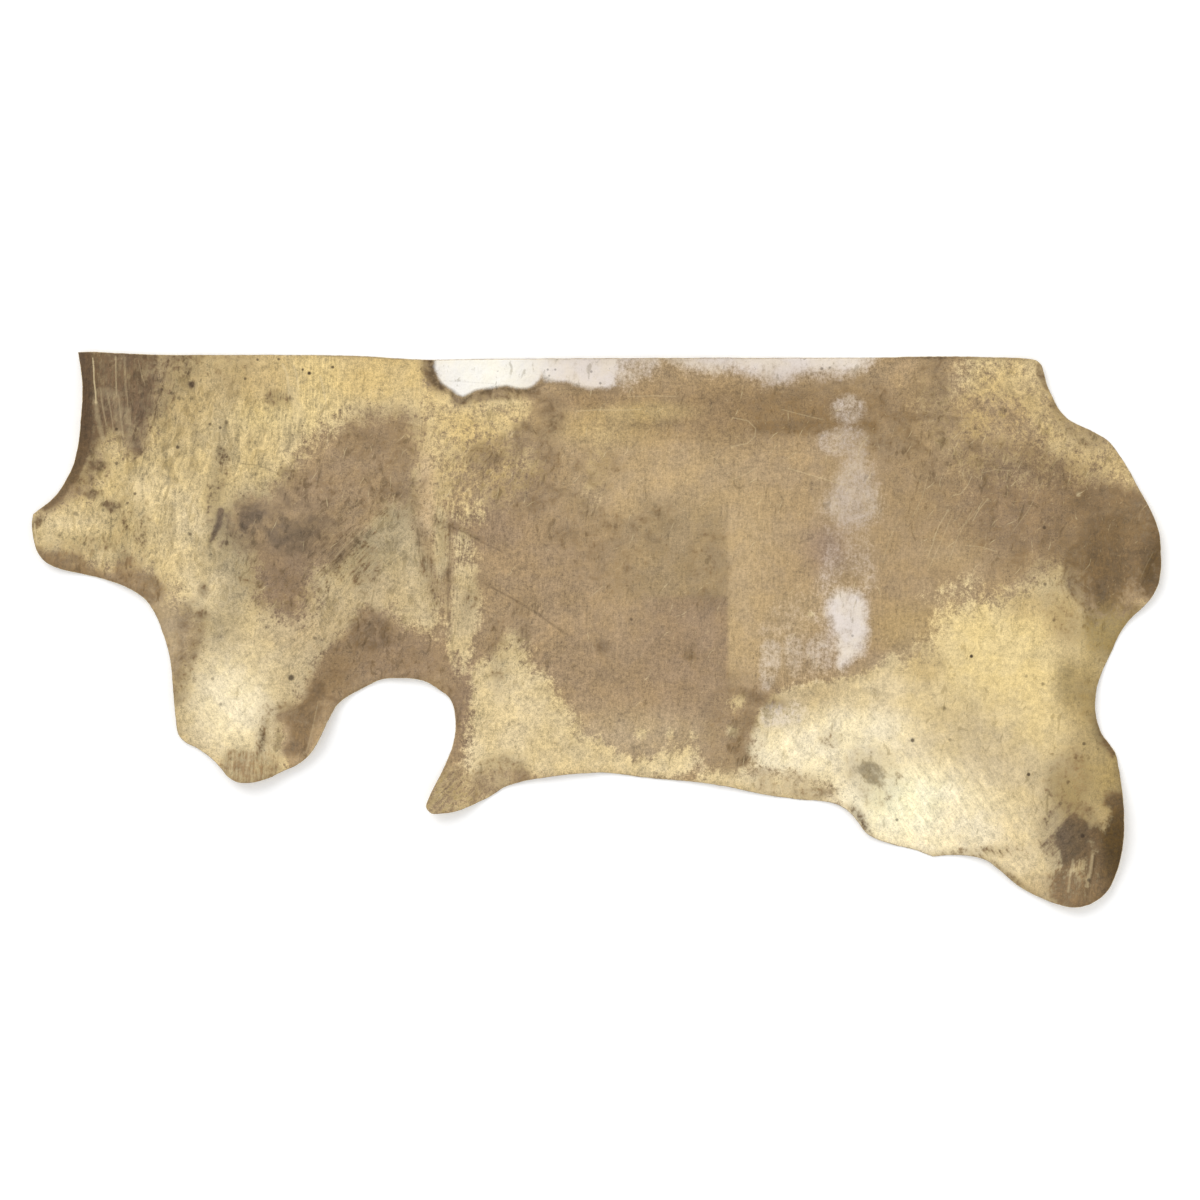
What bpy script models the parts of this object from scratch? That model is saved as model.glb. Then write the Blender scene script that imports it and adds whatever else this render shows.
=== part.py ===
"""A rawhide side: half of a cattle hide, split down the back, lying grain side up on a flat surface.

+X runs from the neck to the tail, +Y from the belly to the back cut, +Z up. The origin is under the
middle of the hide, on the surface that it lies on. Sizes in the tables are millimetres.
"""

import math

import bpy
import numpy as np
from mathutils import Vector, geometry

MM = 0.001
HIDE_LENGTH = 2254.0  # from the neck flap to the rump
HIDE_WIDTH = 1112.0  # from the back cut to the hind shank
THICKNESS = 2.5

RIM_STEP = 15.0  # between the points along the cut edge
FINE_PITCH = 36.0  # between the points where the hide bends
COARSE_PITCH = 2 * FINE_PITCH  # between the points where it lies flat
RIM_CLEARANCE = 15.0  # from the cut edge to the nearest inner point
BEND_MARGIN = 75.0  # the fine points reach this far in from the cut edge
CURVE_SAMPLES = 10  # samples of the smooth outline between two of its points

CORNER, ROUND = 0.0, 1.0  # how the outline turns at the first point of a stretch

# Each stretch of the cut edge, clockwise as seen from above. A point is the distance along from the
# neck end and down from the back.
OUTLINE = (
    ("back cut", CORNER, ((91, 3), (118, 2), (176, 5), (266, 8), (386, 8), (534, 8), (654, 10),
                          (774, 17), (934, 16), (1134, 15), (1334, 14), (1534, 14), (1694, 13),
                          (1794, 11), (1854, 11), (1934, 13))),
    ("tail root", ROUND, ((1988, 16), (2006, 19), (2016, 28), (2022, 46), (2028, 68))),
    ("rump", ROUND, ((2040, 93), (2054, 119), (2072, 137), (2094, 149), (2120, 161), (2152, 181),
                     (2176, 212), (2214, 280), (2240, 330), (2250, 360), (2254, 400))),
    ("thigh", ROUND, ((2254, 444), (2250, 466), (2239, 490), (2217, 516), (2199, 532), (2183, 552),
                      (2155, 608), (2139, 642))),
    ("hock bay", ROUND, ((2128, 674), (2124, 704), (2128, 740), (2138, 766), (2154, 787))),
    ("hind shank back", ROUND, ((2165, 804), (2171, 834), (2177, 878), (2180, 938), (2179, 976),
                                (2174, 1014), (2164, 1048), (2151, 1076))),
    ("hind shank end", ROUND, ((2132, 1095), (2108, 1108), (2082, 1113), (2050, 1107))),
    ("hind shank front", ROUND, ((2006, 1090), (1972, 1072), (1933, 1039), (1908, 1020), (1878, 1011),
                                 (1840, 1009))),
    ("flank", CORNER, ((1800, 1012), (1766, 999), (1716, 987), (1688, 977), (1664, 962), (1650, 943),
                       (1632, 922), (1612, 909), (1590, 903))),
    ("belly", ROUND, ((1534, 898), (1474, 890), (1382, 871), (1334, 864), (1234, 855), (1134, 844),
                      (1094, 846), (1024, 854), (974, 863), (944, 873))),
    ("elbow point", ROUND, ((916, 891), (888, 905), (854, 919), (822, 925), (796, 924), (787, 913),
                            (793, 892), (816, 846))),
    ("fore bay", ROUND, ((832, 810), (842, 778), (845, 745), (842, 716), (833, 695), (812, 678),
                         (788, 663), (766, 657), (734, 655), (698, 658), (660, 676))),
    ("fore shank back", ROUND, ((630, 692), (612, 706), (593, 739), (575, 777), (554, 809),
                                (534, 826))),
    ("fore shank end", ROUND, ((502, 841), (472, 855), (438, 864), (412, 863), (394, 854), (378, 836),
                               (362, 819), (330, 796))),
    ("fore shank front", ROUND, ((301, 780), (291, 766), (287, 738), (283, 698), (280, 656),
                                 (273, 608))),
    ("brisket bay", ROUND, ((259, 562), (246, 528), (229, 502), (208, 484), (178, 469), (142, 457),
                            (94, 446))),
    ("neck flap", ROUND, ((54, 436), (28, 424), (13, 407), (4, 378), (0, 344))),
    ("neck cut", CORNER, ((2, 327), (15, 317), (34, 302), (50, 285), (68, 257), (82, 228), (91, 196),
                          (98, 142), (101, 84), (98, 46))),
)

# Where the cut edge lifts off the surface, and by how much. It lifts over reach, measured from the
# middle of the lift, and over band, measured in from the cut edge.
EDGE_LIFTS = (
    # name, along, down, reach, band, height
    ("back cut, shoulder", 300, 10, 330, 60, 6),
    ("back cut, loin", 1230, 15, 470, 65, 8),
    ("tail root", 2010, 40, 130, 70, 10),
    ("rump", 2235, 400, 210, 100, 20),
    ("hock bay", 2125, 710, 110, 55, 10),
    ("hind shank back", 2178, 950, 190, 105, 30),
    ("hind shank end", 2085, 1110, 130, 110, 20),
    ("hind shank front", 1930, 1030, 120, 60, 12),
    ("flank", 1650, 940, 110, 60, 10),
    ("belly, rear", 1380, 870, 150, 45, 6),
    ("belly, front", 1060, 848, 160, 50, 9),
    ("elbow point", 800, 915, 130, 120, 24),
    ("fore bay", 760, 656, 130, 45, 10),
    ("fore shank back", 575, 770, 140, 65, 22),
    ("fore shank end", 430, 860, 150, 120, 24),
    ("fore shank front", 284, 690, 150, 70, 16),
    ("brisket bay", 215, 484, 120, 55, 12),
    ("neck flap", 8, 370, 150, 130, 20),
    ("neck cut", 100, 140, 190, 75, 24),
)

# The low swells where the stiff hide stands clear of the surface. Half-length and half-width reach
# from the middle of a swell to 0.37 of its height, and turn is the angle of its length from +X.
SWELLS = (
    # name, along, down, half-length, half-width, turn, height
    ("loin ridge", 1640, 390, 330, 80, 92, 12),
    ("shoulder", 560, 330, 210, 110, 40, 10),
    ("neck", 230, 230, 190, 70, 84, 9),
    ("chest", 860, 480, 230, 70, 100, 8),
    ("belly", 1240, 620, 230, 90, -6, 8),
    ("rump", 1990, 330, 190, 100, -35, 11),
    ("hind shank", 1900, 800, 230, 90, -38, 12),
    ("fore shank", 430, 640, 170, 75, 80, 9),
)
CONTACT = 1.5  # what swells less than this lies flat
CONTACT_EASE = 2.0  # how gently a swell leaves the flat


def outline_points():
    """The points of the outline with the roundness at each, as one closed loop."""
    points, roundness = [], []
    for _, turn, stretch in OUTLINE:
        for number, point in enumerate(stretch):
            points.append(point)
            roundness.append(turn if number == 0 else ROUND)
    return np.array(points, float), np.array(roundness)


def smooth_pieces():
    """The outline as finely sampled curves, each running from one corner to the next."""
    points, roundness = outline_points()
    chord = np.linalg.norm(np.roll(points, -1, axis=0) - points, axis=1)
    slope = (np.roll(points, -1, axis=0) - points) / chord[:, None]
    before, chord_before = np.roll(slope, 1, axis=0), np.roll(chord, 1)
    tangent = slope * chord_before[:, None] + before * chord[:, None]
    tangent *= (roundness / (chord + chord_before))[:, None]

    t = np.linspace(0, 1, CURVE_SAMPLES, endpoint=False)[:, None]
    start, end = 2 * t**3 - 3 * t**2 + 1, 3 * t**2 - 2 * t**3
    leave, arrive = t**3 - 2 * t**2 + t, t**3 - t**2
    pieces = []
    for i in range(len(points)):
        j = (i + 1) % len(points)
        if roundness[i] == CORNER:
            pieces.append([])
        pieces[-1].append(
            start * points[i] + end * points[j] + chord[i] * (leave * tangent[i] + arrive * tangent[j])
        )
    pieces = [np.concatenate(piece) for piece in pieces]
    return [np.vstack([piece, pieces[(k + 1) % len(pieces)][:1]]) for k, piece in enumerate(pieces)]


def cut_edge(step):
    """The outline as points about step apart, with its corners kept."""
    loop = []
    for piece in smooth_pieces():
        length = np.concatenate([[0], np.cumsum(np.linalg.norm(np.diff(piece, axis=0), axis=1))])
        count = max(1, round(length[-1] / step))
        at = np.linspace(0, length[-1], count + 1)[:-1]
        loop.append(np.stack([np.interp(at, length, piece[:, axis]) for axis in (0, 1)], axis=1))
    return np.concatenate(loop)


def distance_to_edge(points, loop):
    """How far each point is from the cut edge."""
    nearest = np.full(len(points), np.inf)
    for start, end in zip(loop, np.roll(loop, -1, axis=0)):
        along = end - start
        share = np.clip((points - start) @ along / (along @ along), 0, 1)
        gap = points - start - share[:, None] * along
        nearest = np.minimum(nearest, np.hypot(gap[:, 0], gap[:, 1]))
    return nearest


def inside(points, loop):
    """Whether each point lies inside the cut edge."""
    crossings = np.zeros(len(points), int)
    for (x0, y0), (x1, y1) in zip(loop, np.roll(loop, -1, axis=0)):
        spans = (y0 > points[:, 1]) != (y1 > points[:, 1])
        if spans.any():
            crossings += spans & (points[:, 0] < x0 + (points[:, 1] - y0) * (x1 - x0) / (y1 - y0))
    return crossings % 2 == 1


def ease(share):
    """0 to 1, level at both ends."""
    share = np.clip(share, 0, 1)
    return share * share * (3 - 2 * share)


def lift_of(points, loop):
    """The height of the lifted edges."""
    depth = distance_to_edge(points, loop)
    height = np.zeros(len(points))
    for _, along, down, reach, band, lift in EDGE_LIFTS:
        away = np.hypot(points[:, 0] - along, points[:, 1] - down)
        height += lift * ease(1 - away / reach) * np.clip(1 - depth / band, 0, 1) ** 2
    return height


def swell_of(points):
    """The height of the swells, which is exactly 0 where the hide touches the surface."""
    height = np.zeros(len(points))
    for _, along, down, half_length, half_width, turn, top in SWELLS:
        dx, dy = points[:, 0] - along, down - points[:, 1]
        c, s = math.cos(math.radians(turn)), math.sin(math.radians(turn))
        far = ((dx * c + dy * s) / half_length) ** 2 + ((dy * c - dx * s) / half_width) ** 2
        height += top * np.exp(-far)
    clear = np.maximum(height - CONTACT, 0)
    return clear * clear / (clear + CONTACT_EASE)


def inner_points(loop):
    """A triangular grid inside the cut edge, twice as coarse where the hide lies flat."""
    row_gap = FINE_PITCH * math.sqrt(3) / 2
    rows, columns = int(HIDE_WIDTH / row_gap) + 1, int(HIDE_LENGTH / FINE_PITCH) + 2
    row, column = (a.ravel() for a in np.mgrid[0:rows, 0:columns])
    grid = np.stack([(column + row % 2 / 2 - 0.25) * FINE_PITCH, (row + 0.5) * row_gap], axis=1)
    # Every second row, and every second point in it, makes the coarse grid.
    coarse = (row % 2 == 0) & ((column + row // 2 % 2) % 2 == 0)
    depth = distance_to_edge(grid, loop)
    bends = (depth < BEND_MARGIN) | (swell_of(grid) + lift_of(grid, loop) > 0)
    return grid[inside(grid, loop) & (depth > RIM_CLEARANCE) & (coarse | bends)]


def hide_mesh(name):
    """The underside of the hide as one triangulated sheet, in metres and in the part's own frame."""
    loop = cut_edge(RIM_STEP)
    flat = np.concatenate([loop, inner_points(loop)])
    edges = [(i, (i + 1) % len(loop)) for i in range(len(loop))]
    outline_face = [tuple(reversed(range(len(loop))))]
    points, _, faces, *_ = geometry.delaunay_2d_cdt(
        [Vector((x, -y)) for x, y in flat], edges, outline_face, 1, 1e-6
    )
    flat = np.array([(p.x, -p.y) for p in points])
    height = swell_of(flat) + lift_of(flat, loop)
    middle = (loop.min(axis=0) + loop.max(axis=0)) / 2
    vertices = np.column_stack([(flat - middle) * (1, -1), height]) * MM
    mesh = bpy.data.meshes.new(name)
    mesh.from_pydata(vertices.tolist(), [], [tuple(face) for face in faces])
    mesh.validate()
    return mesh


def rawhide_material():
    """Tan rawhide with a dull shine."""
    material = bpy.data.materials.new("rawhide")
    material.use_nodes = True
    shader = material.node_tree.nodes["Principled BSDF"]
    shader.inputs["Base Color"].default_value = (0.47, 0.36, 0.21, 1)
    shader.inputs["Roughness"].default_value = 0.5
    shader.inputs["Metallic"].default_value = 0.0
    return material


def add_hide():
    """The hide, whose thickness stands up from its underside."""
    mesh = hide_mesh("hide")
    mesh.materials.append(rawhide_material())
    hide = bpy.data.objects.new("hide", mesh)
    bpy.context.scene.collection.objects.link(hide)
    thickness = hide.modifiers.new("thickness", "SOLIDIFY")
    thickness.thickness = THICKNESS * MM
    thickness.offset = 1.0
    thickness.use_rim = True
    for face in mesh.polygons:
        face.use_smooth = True
    mesh.set_sharp_from_angle(angle=math.radians(40))


def main():
    for item in list(bpy.data.objects):
        bpy.data.objects.remove(item)
    add_hide()


main()
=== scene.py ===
"""The looks of a rawhide side that lies flat, grain side up, on a pale floor.

Places on the hide are in millimetres, as in the part's source: the distance along from the neck end,
and the distance down from the back cut. Colours are display colours, 0 to 255.
"""
import math

import bpy
import numpy as np
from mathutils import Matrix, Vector, geometry, kdtree


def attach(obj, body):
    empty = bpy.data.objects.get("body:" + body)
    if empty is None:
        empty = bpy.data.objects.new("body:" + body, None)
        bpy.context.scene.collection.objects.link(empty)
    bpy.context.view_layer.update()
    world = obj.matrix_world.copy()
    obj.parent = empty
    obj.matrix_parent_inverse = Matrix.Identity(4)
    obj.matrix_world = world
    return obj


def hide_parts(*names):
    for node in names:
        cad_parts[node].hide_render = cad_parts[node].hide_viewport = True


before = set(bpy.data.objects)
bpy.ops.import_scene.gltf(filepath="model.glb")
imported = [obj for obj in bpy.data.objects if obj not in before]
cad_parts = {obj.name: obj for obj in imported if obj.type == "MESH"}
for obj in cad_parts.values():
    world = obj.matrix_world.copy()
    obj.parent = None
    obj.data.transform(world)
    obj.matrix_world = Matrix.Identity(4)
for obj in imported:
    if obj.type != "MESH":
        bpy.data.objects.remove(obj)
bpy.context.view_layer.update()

MM = 0.001
HIDE_LENGTH = 2254.0
HIDE_WIDTH = 1112.0
THICKNESS = 2.5

RIM_STEP = 5.0  # between the points along the cut edge
GRAIN_PITCH = 5.1  # between the points of the grain side
FLESH_PITCH = 16.0  # between the points of the flesh side
COARSE_STEP = 12.0  # between the points of the outline that distances are measured from
LINE_STEP = 4.0  # between the extra points along a line or a fold
MARK_MARGIN, GRAIN_MARGIN, FLESH_MARGIN = 3.2, 4.0, 11.0  # of the inner points, from the cut edge
LINE_RIM = 1.6  # where a line ends, in its half-widths
DOT_CORE, DOT_RIM = 0.6, 1.2  # where a dot starts to fade and where it ends, in its radii
MARK_GAP = 1.4  # between the extra points of marks and folds
DETAIL_GAP = 2.6  # the grain side's own points stay this far from those of marks
CURVE_SAMPLES = 10

CORNER, ROUND = 0.0, 1.0
GRAIN, EDGE, FLESH = 0, 1, 2  # the material of each side
RIM_SHADE = 20.0  # the grain side is painted darker this far in from the cut edge, as shade where the edge curls
NO_COVER = -3.0  # what a layer's cover is where it is far away

SKY = 0.82
LAMP = 1.1
SHINE = 0.012  # what the shine adds to every colour
DARKEST, LIGHTEST = 0.003, 0.97  # the range of the colours that a surface is painted in

FOCAL_LENGTH, SENSOR_WIDTH = 135, 36
CAMERA_PLACE = (7.0, 59.0)
FRAME_WIDTH = 2400.0
FLOOR_GAP = 0.0004
FLOOR_REACH = 30.0

# The cut edge, clockwise as seen from above, and how it turns at the first point of each stretch.
OUTLINE = (
    ("back cut", CORNER, ((91, 3), (118, 2), (176, 5), (266, 8), (386, 8), (534, 8), (654, 10),
                          (774, 17), (934, 16), (1134, 15), (1334, 14), (1534, 14), (1694, 13),
                          (1794, 11), (1854, 11), (1934, 13))),
    ("tail root", ROUND, ((1988, 16), (2006, 19), (2016, 28), (2022, 46), (2028, 68))),
    ("rump", ROUND, ((2040, 93), (2054, 119), (2072, 137), (2094, 149), (2120, 161), (2152, 181),
                     (2176, 212), (2214, 280), (2240, 330), (2250, 360), (2254, 400))),
    ("thigh", ROUND, ((2254, 444), (2250, 466), (2239, 490), (2217, 516), (2199, 532), (2183, 552),
                      (2155, 608), (2139, 642))),
    ("hock bay", ROUND, ((2128, 674), (2124, 704), (2128, 740), (2138, 766), (2154, 787))),
    ("hind shank back", ROUND, ((2165, 804), (2171, 834), (2177, 878), (2180, 938), (2179, 976),
                                (2174, 1014), (2164, 1048), (2151, 1076))),
    ("hind shank end", ROUND, ((2132, 1095), (2108, 1108), (2082, 1113), (2050, 1107))),
    ("hind shank front", ROUND, ((2006, 1090), (1972, 1072), (1933, 1039), (1908, 1020), (1878, 1011),
                                 (1840, 1009))),
    ("flank", CORNER, ((1800, 1012), (1766, 999), (1716, 987), (1688, 977), (1664, 962), (1650, 943),
                       (1632, 922), (1612, 909), (1590, 903))),
    ("belly", ROUND, ((1534, 898), (1474, 890), (1382, 871), (1334, 864), (1234, 855), (1134, 844),
                      (1094, 846), (1024, 854), (974, 863), (944, 873))),
    ("elbow point", ROUND, ((916, 891), (888, 905), (854, 919), (822, 925), (796, 924), (787, 913),
                            (793, 892), (816, 846))),
    ("fore bay", ROUND, ((832, 810), (842, 778), (845, 745), (842, 716), (833, 695), (812, 678),
                         (788, 663), (766, 657), (734, 655), (698, 658), (660, 676))),
    ("fore shank back", ROUND, ((630, 692), (612, 706), (593, 739), (575, 777), (554, 809),
                                (534, 826))),
    ("fore shank end", ROUND, ((502, 841), (472, 855), (438, 864), (412, 863), (394, 854), (378, 836),
                               (362, 819), (330, 796))),
    ("fore shank front", ROUND, ((301, 780), (291, 766), (287, 738), (283, 698), (280, 656),
                                 (273, 608))),
    ("brisket bay", ROUND, ((259, 562), (246, 528), (229, 502), (208, 484), (178, 469), (142, 457),
                            (94, 446))),
    ("neck flap", ROUND, ((54, 436), (28, 424), (13, 407), (4, 378), (0, 344))),
    ("neck cut", CORNER, ((2, 327), (15, 317), (34, 302), (50, 285), (68, 257), (82, 228), (91, 196),
                          (98, 142), (101, 84), (98, 46))),
)

# Where the cut edge lifts off the floor: over reach, from the middle of the lift, and over band,
# from the cut edge.
EDGE_LIFTS = (
    # name, along, down, reach, band, height
    ("back cut, shoulder", 300, 10, 330, 60, 6),
    ("back cut, loin", 1230, 15, 470, 65, 8),
    ("tail root", 2010, 40, 130, 70, 10),
    ("rump", 2235, 400, 210, 100, 20),
    ("hock bay", 2125, 710, 110, 55, 10),
    ("hind shank back", 2178, 950, 190, 105, 30),
    ("hind shank end", 2085, 1110, 130, 110, 20),
    ("hind shank front", 1930, 1030, 120, 60, 12),
    ("flank", 1650, 940, 110, 60, 10),
    ("belly, rear", 1380, 870, 150, 45, 6),
    ("belly, front", 1060, 848, 160, 50, 9),
    ("elbow point", 800, 915, 130, 120, 24),
    ("fore bay", 760, 656, 130, 45, 10),
    ("fore shank back", 575, 770, 140, 65, 22),
    ("fore shank end", 430, 860, 150, 120, 24),
    ("fore shank front", 284, 690, 150, 70, 16),
    ("brisket bay", 215, 484, 120, 55, 12),
    ("neck flap", 8, 370, 150, 130, 20),
    ("neck cut", 100, 140, 190, 75, 24),
)

# The low swells, each with the turn of its length from the back cut's direction.
SWELLS = (
    # name, along, down, half-length, half-width, turn, height
    ("loin ridge", 1640, 390, 330, 80, 92, 12),
    ("shoulder", 560, 330, 210, 110, 40, 10),
    ("neck", 230, 230, 190, 70, 84, 9),
    ("chest", 860, 480, 230, 70, 100, 8),
    ("belly", 1240, 620, 230, 90, -6, 8),
    ("rump", 1990, 330, 190, 100, -35, 11),
    ("hind shank", 1900, 800, 230, 90, -38, 12),
    ("fore shank", 430, 640, 170, 75, 80, 9),
)
CONTACT = 1.5
CONTACT_EASE = 2.0

# Shallow parallel wrinkles, which run along turn and fade out towards the rim of their ellipse.
WRINKLES = (
    # name, along, down, half-length, half-width, turn, pitch, height
    ("neck", 230, 190, 210, 170, 86, 37, 1.3),
    ("shoulder, back cut", 560, 70, 90, 130, 88, 23, 0.8),
    ("fore shank", 430, 790, 90, 80, 74, 26, 1.5),
    ("hind shank", 2120, 1010, 110, 60, 76, 28, 1.6),
    ("elbow point", 840, 870, 70, 60, 35, 24, 1.0),
    ("rump", 2200, 430, 100, 50, 58, 30, 1.2),
    ("belly", 1200, 835, 300, 40, 88, 62, 0.7),
)

# Creases and ridges: half-width across, and height, which is negative for a crease.
FOLDS = (
    # name, half-width, height, points
    ("neck edge ridge", 5, 2.2, ((122, 8), (124, 60), (130, 120), (124, 190), (106, 240))),
    ("second neck ridge", 5, 1.2, ((168, 8), (168, 60), (172, 110))),
    ("fore shank fold", 5, 1.6, ((572, 660), (568, 720), (556, 780), (538, 812))),
    ("fore shank crease", 4, -1.0, ((588, 700), (575, 750), (556, 790))),
    ("shank tip crease 1", 4, -1.0, ((404, 800), (400, 830), (396, 850))),
    ("shank tip crease 2", 4, -0.9, ((424, 795), (418, 830), (410, 858))),
    ("shank tip crease 3", 5, -1.4, ((466, 750), (458, 790), (450, 830))),
    ("hind shank crease", 5, -1.8, ((2130, 1014), (2122, 1040), (2114, 1070), (2108, 1100))),
    ("hind shank crease 2", 4, -1.0, ((2148, 960), (2138, 1010), (2128, 1060))),
    ("rump crease", 4, -1.4, ((2246, 404), (2232, 430), (2218, 458), (2208, 476))),
    ("chest crease", 4, -0.7, ((836, 350), (834, 420), (830, 500), (838, 560))),
    ("chest vein", 2.5, -0.5, ((836, 352), (870, 366), (904, 386), (940, 402))),
    ("flank vein", 2.5, -0.6, ((905, 466), (960, 496), (1010, 526), (1076, 572))),
)

PALETTE = {
    "tan": (177, 151, 114),
    "light tan": (191, 165, 124),
    "yellow tan": (194, 168, 116),
    "taupe": (157, 132, 103),
    "brown tan": (149, 123, 88),
    "brown": (136, 112, 80),
    "dark brown": (116, 94, 66),
    "cream": (215, 193, 146),
    "yellow": (215, 188, 130),
    "straw": (193, 167, 116),
    "deep yellow": (230, 206, 147),
    "ivory": (250, 235, 197),
    "grey green": (171, 154, 120),
    "dull cream": (200, 180, 140),
    "olive": (158, 136, 86),
    "neck umber": (121, 99, 75),
    "rump umber": (121, 98, 67),
    "shank umber": (88, 68, 36),
    "wear_and_rim_shade": (105, 87, 63),
    "light cream": (228, 207, 162),
    "neck strip": (103, 82, 59),
    "smudge": (118, 101, 81),
    "grey": (158, 144, 114),
    "olive brown": (133, 107, 71),
    "white": (255, 249, 238),
    "lilac": (231, 219, 206),
    "salt": (222, 206, 184),
    "edge light": (214, 193, 148),
    "edge deep": (150, 122, 82),
    "flesh light": (226, 211, 176),
    "flesh deep": (188, 166, 126),
    "ink": (58, 45, 31),
    "mauve": (152, 128, 108),
    "brisket": (187, 165, 130),
    "neck cream": (213, 189, 136),
    "mid cream": (192, 170, 130),
    "pink cream": (214, 186, 146),
    "white ivory": (255, 246, 207),
    "lilac cream": (203, 184, 148),
    "olive umber": (110, 94, 66),
    "dusk": (203, 187, 170),
    "green tan": (165, 143, 106),
    "panel": (158, 133, 105),
    "hock cream": (183, 160, 112),
}


def corner_loop(points, roundness):
    """A smooth loop through the points, sampled finely, as pieces that run from corner to corner."""
    chord = np.linalg.norm(np.roll(points, -1, axis=0) - points, axis=1)
    slope = (np.roll(points, -1, axis=0) - points) / chord[:, None]
    before, chord_before = np.roll(slope, 1, axis=0), np.roll(chord, 1)
    tangent = slope * chord_before[:, None] + before * chord[:, None]
    tangent *= (roundness / (chord + chord_before))[:, None]
    t = np.linspace(0, 1, CURVE_SAMPLES, endpoint=False)[:, None]
    start, end = 2 * t**3 - 3 * t**2 + 1, 3 * t**2 - 2 * t**3
    leave, arrive = t**3 - 2 * t**2 + t, t**3 - t**2
    pieces = []
    for i in range(len(points)):
        j = (i + 1) % len(points)
        if roundness[i] == CORNER:
            pieces.append([])
        pieces[-1].append(
            start * points[i] + end * points[j] + chord[i] * (leave * tangent[i] + arrive * tangent[j])
        )
    pieces = [np.concatenate(piece) for piece in pieces]
    return [np.vstack([piece, pieces[(k + 1) % len(pieces)][:1]]) for k, piece in enumerate(pieces)]


def evenly(line, step):
    """Points about step apart along a line, without its last one."""
    length = np.concatenate([[0], np.cumsum(np.linalg.norm(np.diff(line, axis=0), axis=1))])
    count = max(1, round(length[-1] / step))
    at = np.linspace(0, length[-1], count + 1)[:-1]
    return np.stack([np.interp(at, length, line[:, axis]) for axis in (0, 1)], axis=1)


def cut_edge(step):
    """The outline as points about step apart, with its corners kept."""
    points, roundness = [], []
    for _, turn, stretch in OUTLINE:
        for number, point in enumerate(stretch):
            points.append(point)
            roundness.append(turn if number == 0 else ROUND)
    pieces = corner_loop(np.array(points, float), np.array(roundness))
    return np.concatenate([evenly(piece, step) for piece in pieces])


def distance_to_line(points, line, closed=False):
    """How far each point is from a line of straight pieces."""
    ends = np.roll(line, -1, axis=0) if closed else line[1:]
    nearest = np.full(len(points), np.inf)
    for start, end in zip(line, ends):
        along = end - start
        offset = points - start
        share = np.clip(offset @ along / (along @ along), 0, 1)
        gap = offset - share[:, None] * along
        nearest = np.minimum(nearest, gap[:, 0] ** 2 + gap[:, 1] ** 2)
    return np.sqrt(nearest)


def inside(points, loop):
    """Whether each point lies inside a loop."""
    crossings = np.zeros(len(points), int)
    for (x0, y0), (x1, y1) in zip(loop, np.roll(loop, -1, axis=0)):
        spans = (y0 > points[:, 1]) != (y1 > points[:, 1])
        if spans.any():
            crossings += spans & (points[:, 0] < x0 + (points[:, 1] - y0) * (x1 - x0) / (y1 - y0))
    return crossings % 2 == 1


def ease(share):
    """0 to 1, level at both ends."""
    share = np.clip(share, 0, 1)
    return share * share * (3 - 2 * share)


def in_ellipse(points, along, down, half_length, half_width, turn):
    """Each point's place along and across an ellipse, in its half-axes."""
    dx, dy = points[:, 0] - along, down - points[:, 1]
    c, s = math.cos(math.radians(turn)), math.sin(math.radians(turn))
    return (dx * c + dy * s) / half_length, (dy * c - dx * s) / half_width


def value_noise(points, size, seed):
    """Smooth noise from 0 to 1, with features about size across."""
    table = np.random.default_rng(seed).random((256, 256))
    at = points / size + 64
    cell = np.floor(at).astype(int)
    share = ease(at - cell)
    x0, y0 = cell[:, 0] % 256, cell[:, 1] % 256
    x1, y1 = (x0 + 1) % 256, (y0 + 1) % 256
    left = table[x0, y0] * (1 - share[:, 1]) + table[x0, y1] * share[:, 1]
    right = table[x1, y0] * (1 - share[:, 1]) + table[x1, y1] * share[:, 1]
    return left * (1 - share[:, 0]) + right * share[:, 0]


def lie_of(points, depth):
    """The height of the hide's underside where it lifts and swells, which is 0 where it touches."""
    height = np.zeros(len(points))
    for _, along, down, half_length, half_width, turn, top in SWELLS:
        u, v = in_ellipse(points, along, down, half_length, half_width, turn)
        height += top * np.exp(-u * u - v * v)
    clear = np.maximum(height - CONTACT, 0)
    height = clear * clear / (clear + CONTACT_EASE)
    for _, along, down, reach, band, lift in EDGE_LIFTS:
        away = np.hypot(points[:, 0] - along, points[:, 1] - down)
        height += lift * ease(1 - away / reach) * np.clip(1 - depth / band, 0, 1) ** 2
    return height


def wrinkles_of(points):
    """The height of the shallow wrinkles, which both sides share."""
    height = np.zeros(len(points))
    for number, (_, along, down, half_length, half_width, turn, pitch, top) in enumerate(WRINKLES):
        u, v = in_ellipse(points, along, down, half_length, half_width, turn)
        wander = value_noise(points, pitch * 2.2, number)
        wander = wander + value_noise(points, pitch * 0.9, number + 40) * 0.4
        wave = 0.5 + 0.5 * np.sin(2 * math.pi * (v * half_width / pitch + 1.3 * wander))
        patches = 0.4 + 0.6 * value_noise(points, 60, number + 7)
        height += top * wave**1.5 * ease(1.4 - np.hypot(u, v)) * patches
    return height


def folds_of(points):
    """The height of the ridges and creases on the grain side."""
    height = np.zeros(len(points))
    for _, half_width, top, line in FOLDS:
        height += top * np.exp(-((distance_to_line(points, np.array(line, float)) / half_width) ** 2))
    return height


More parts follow.
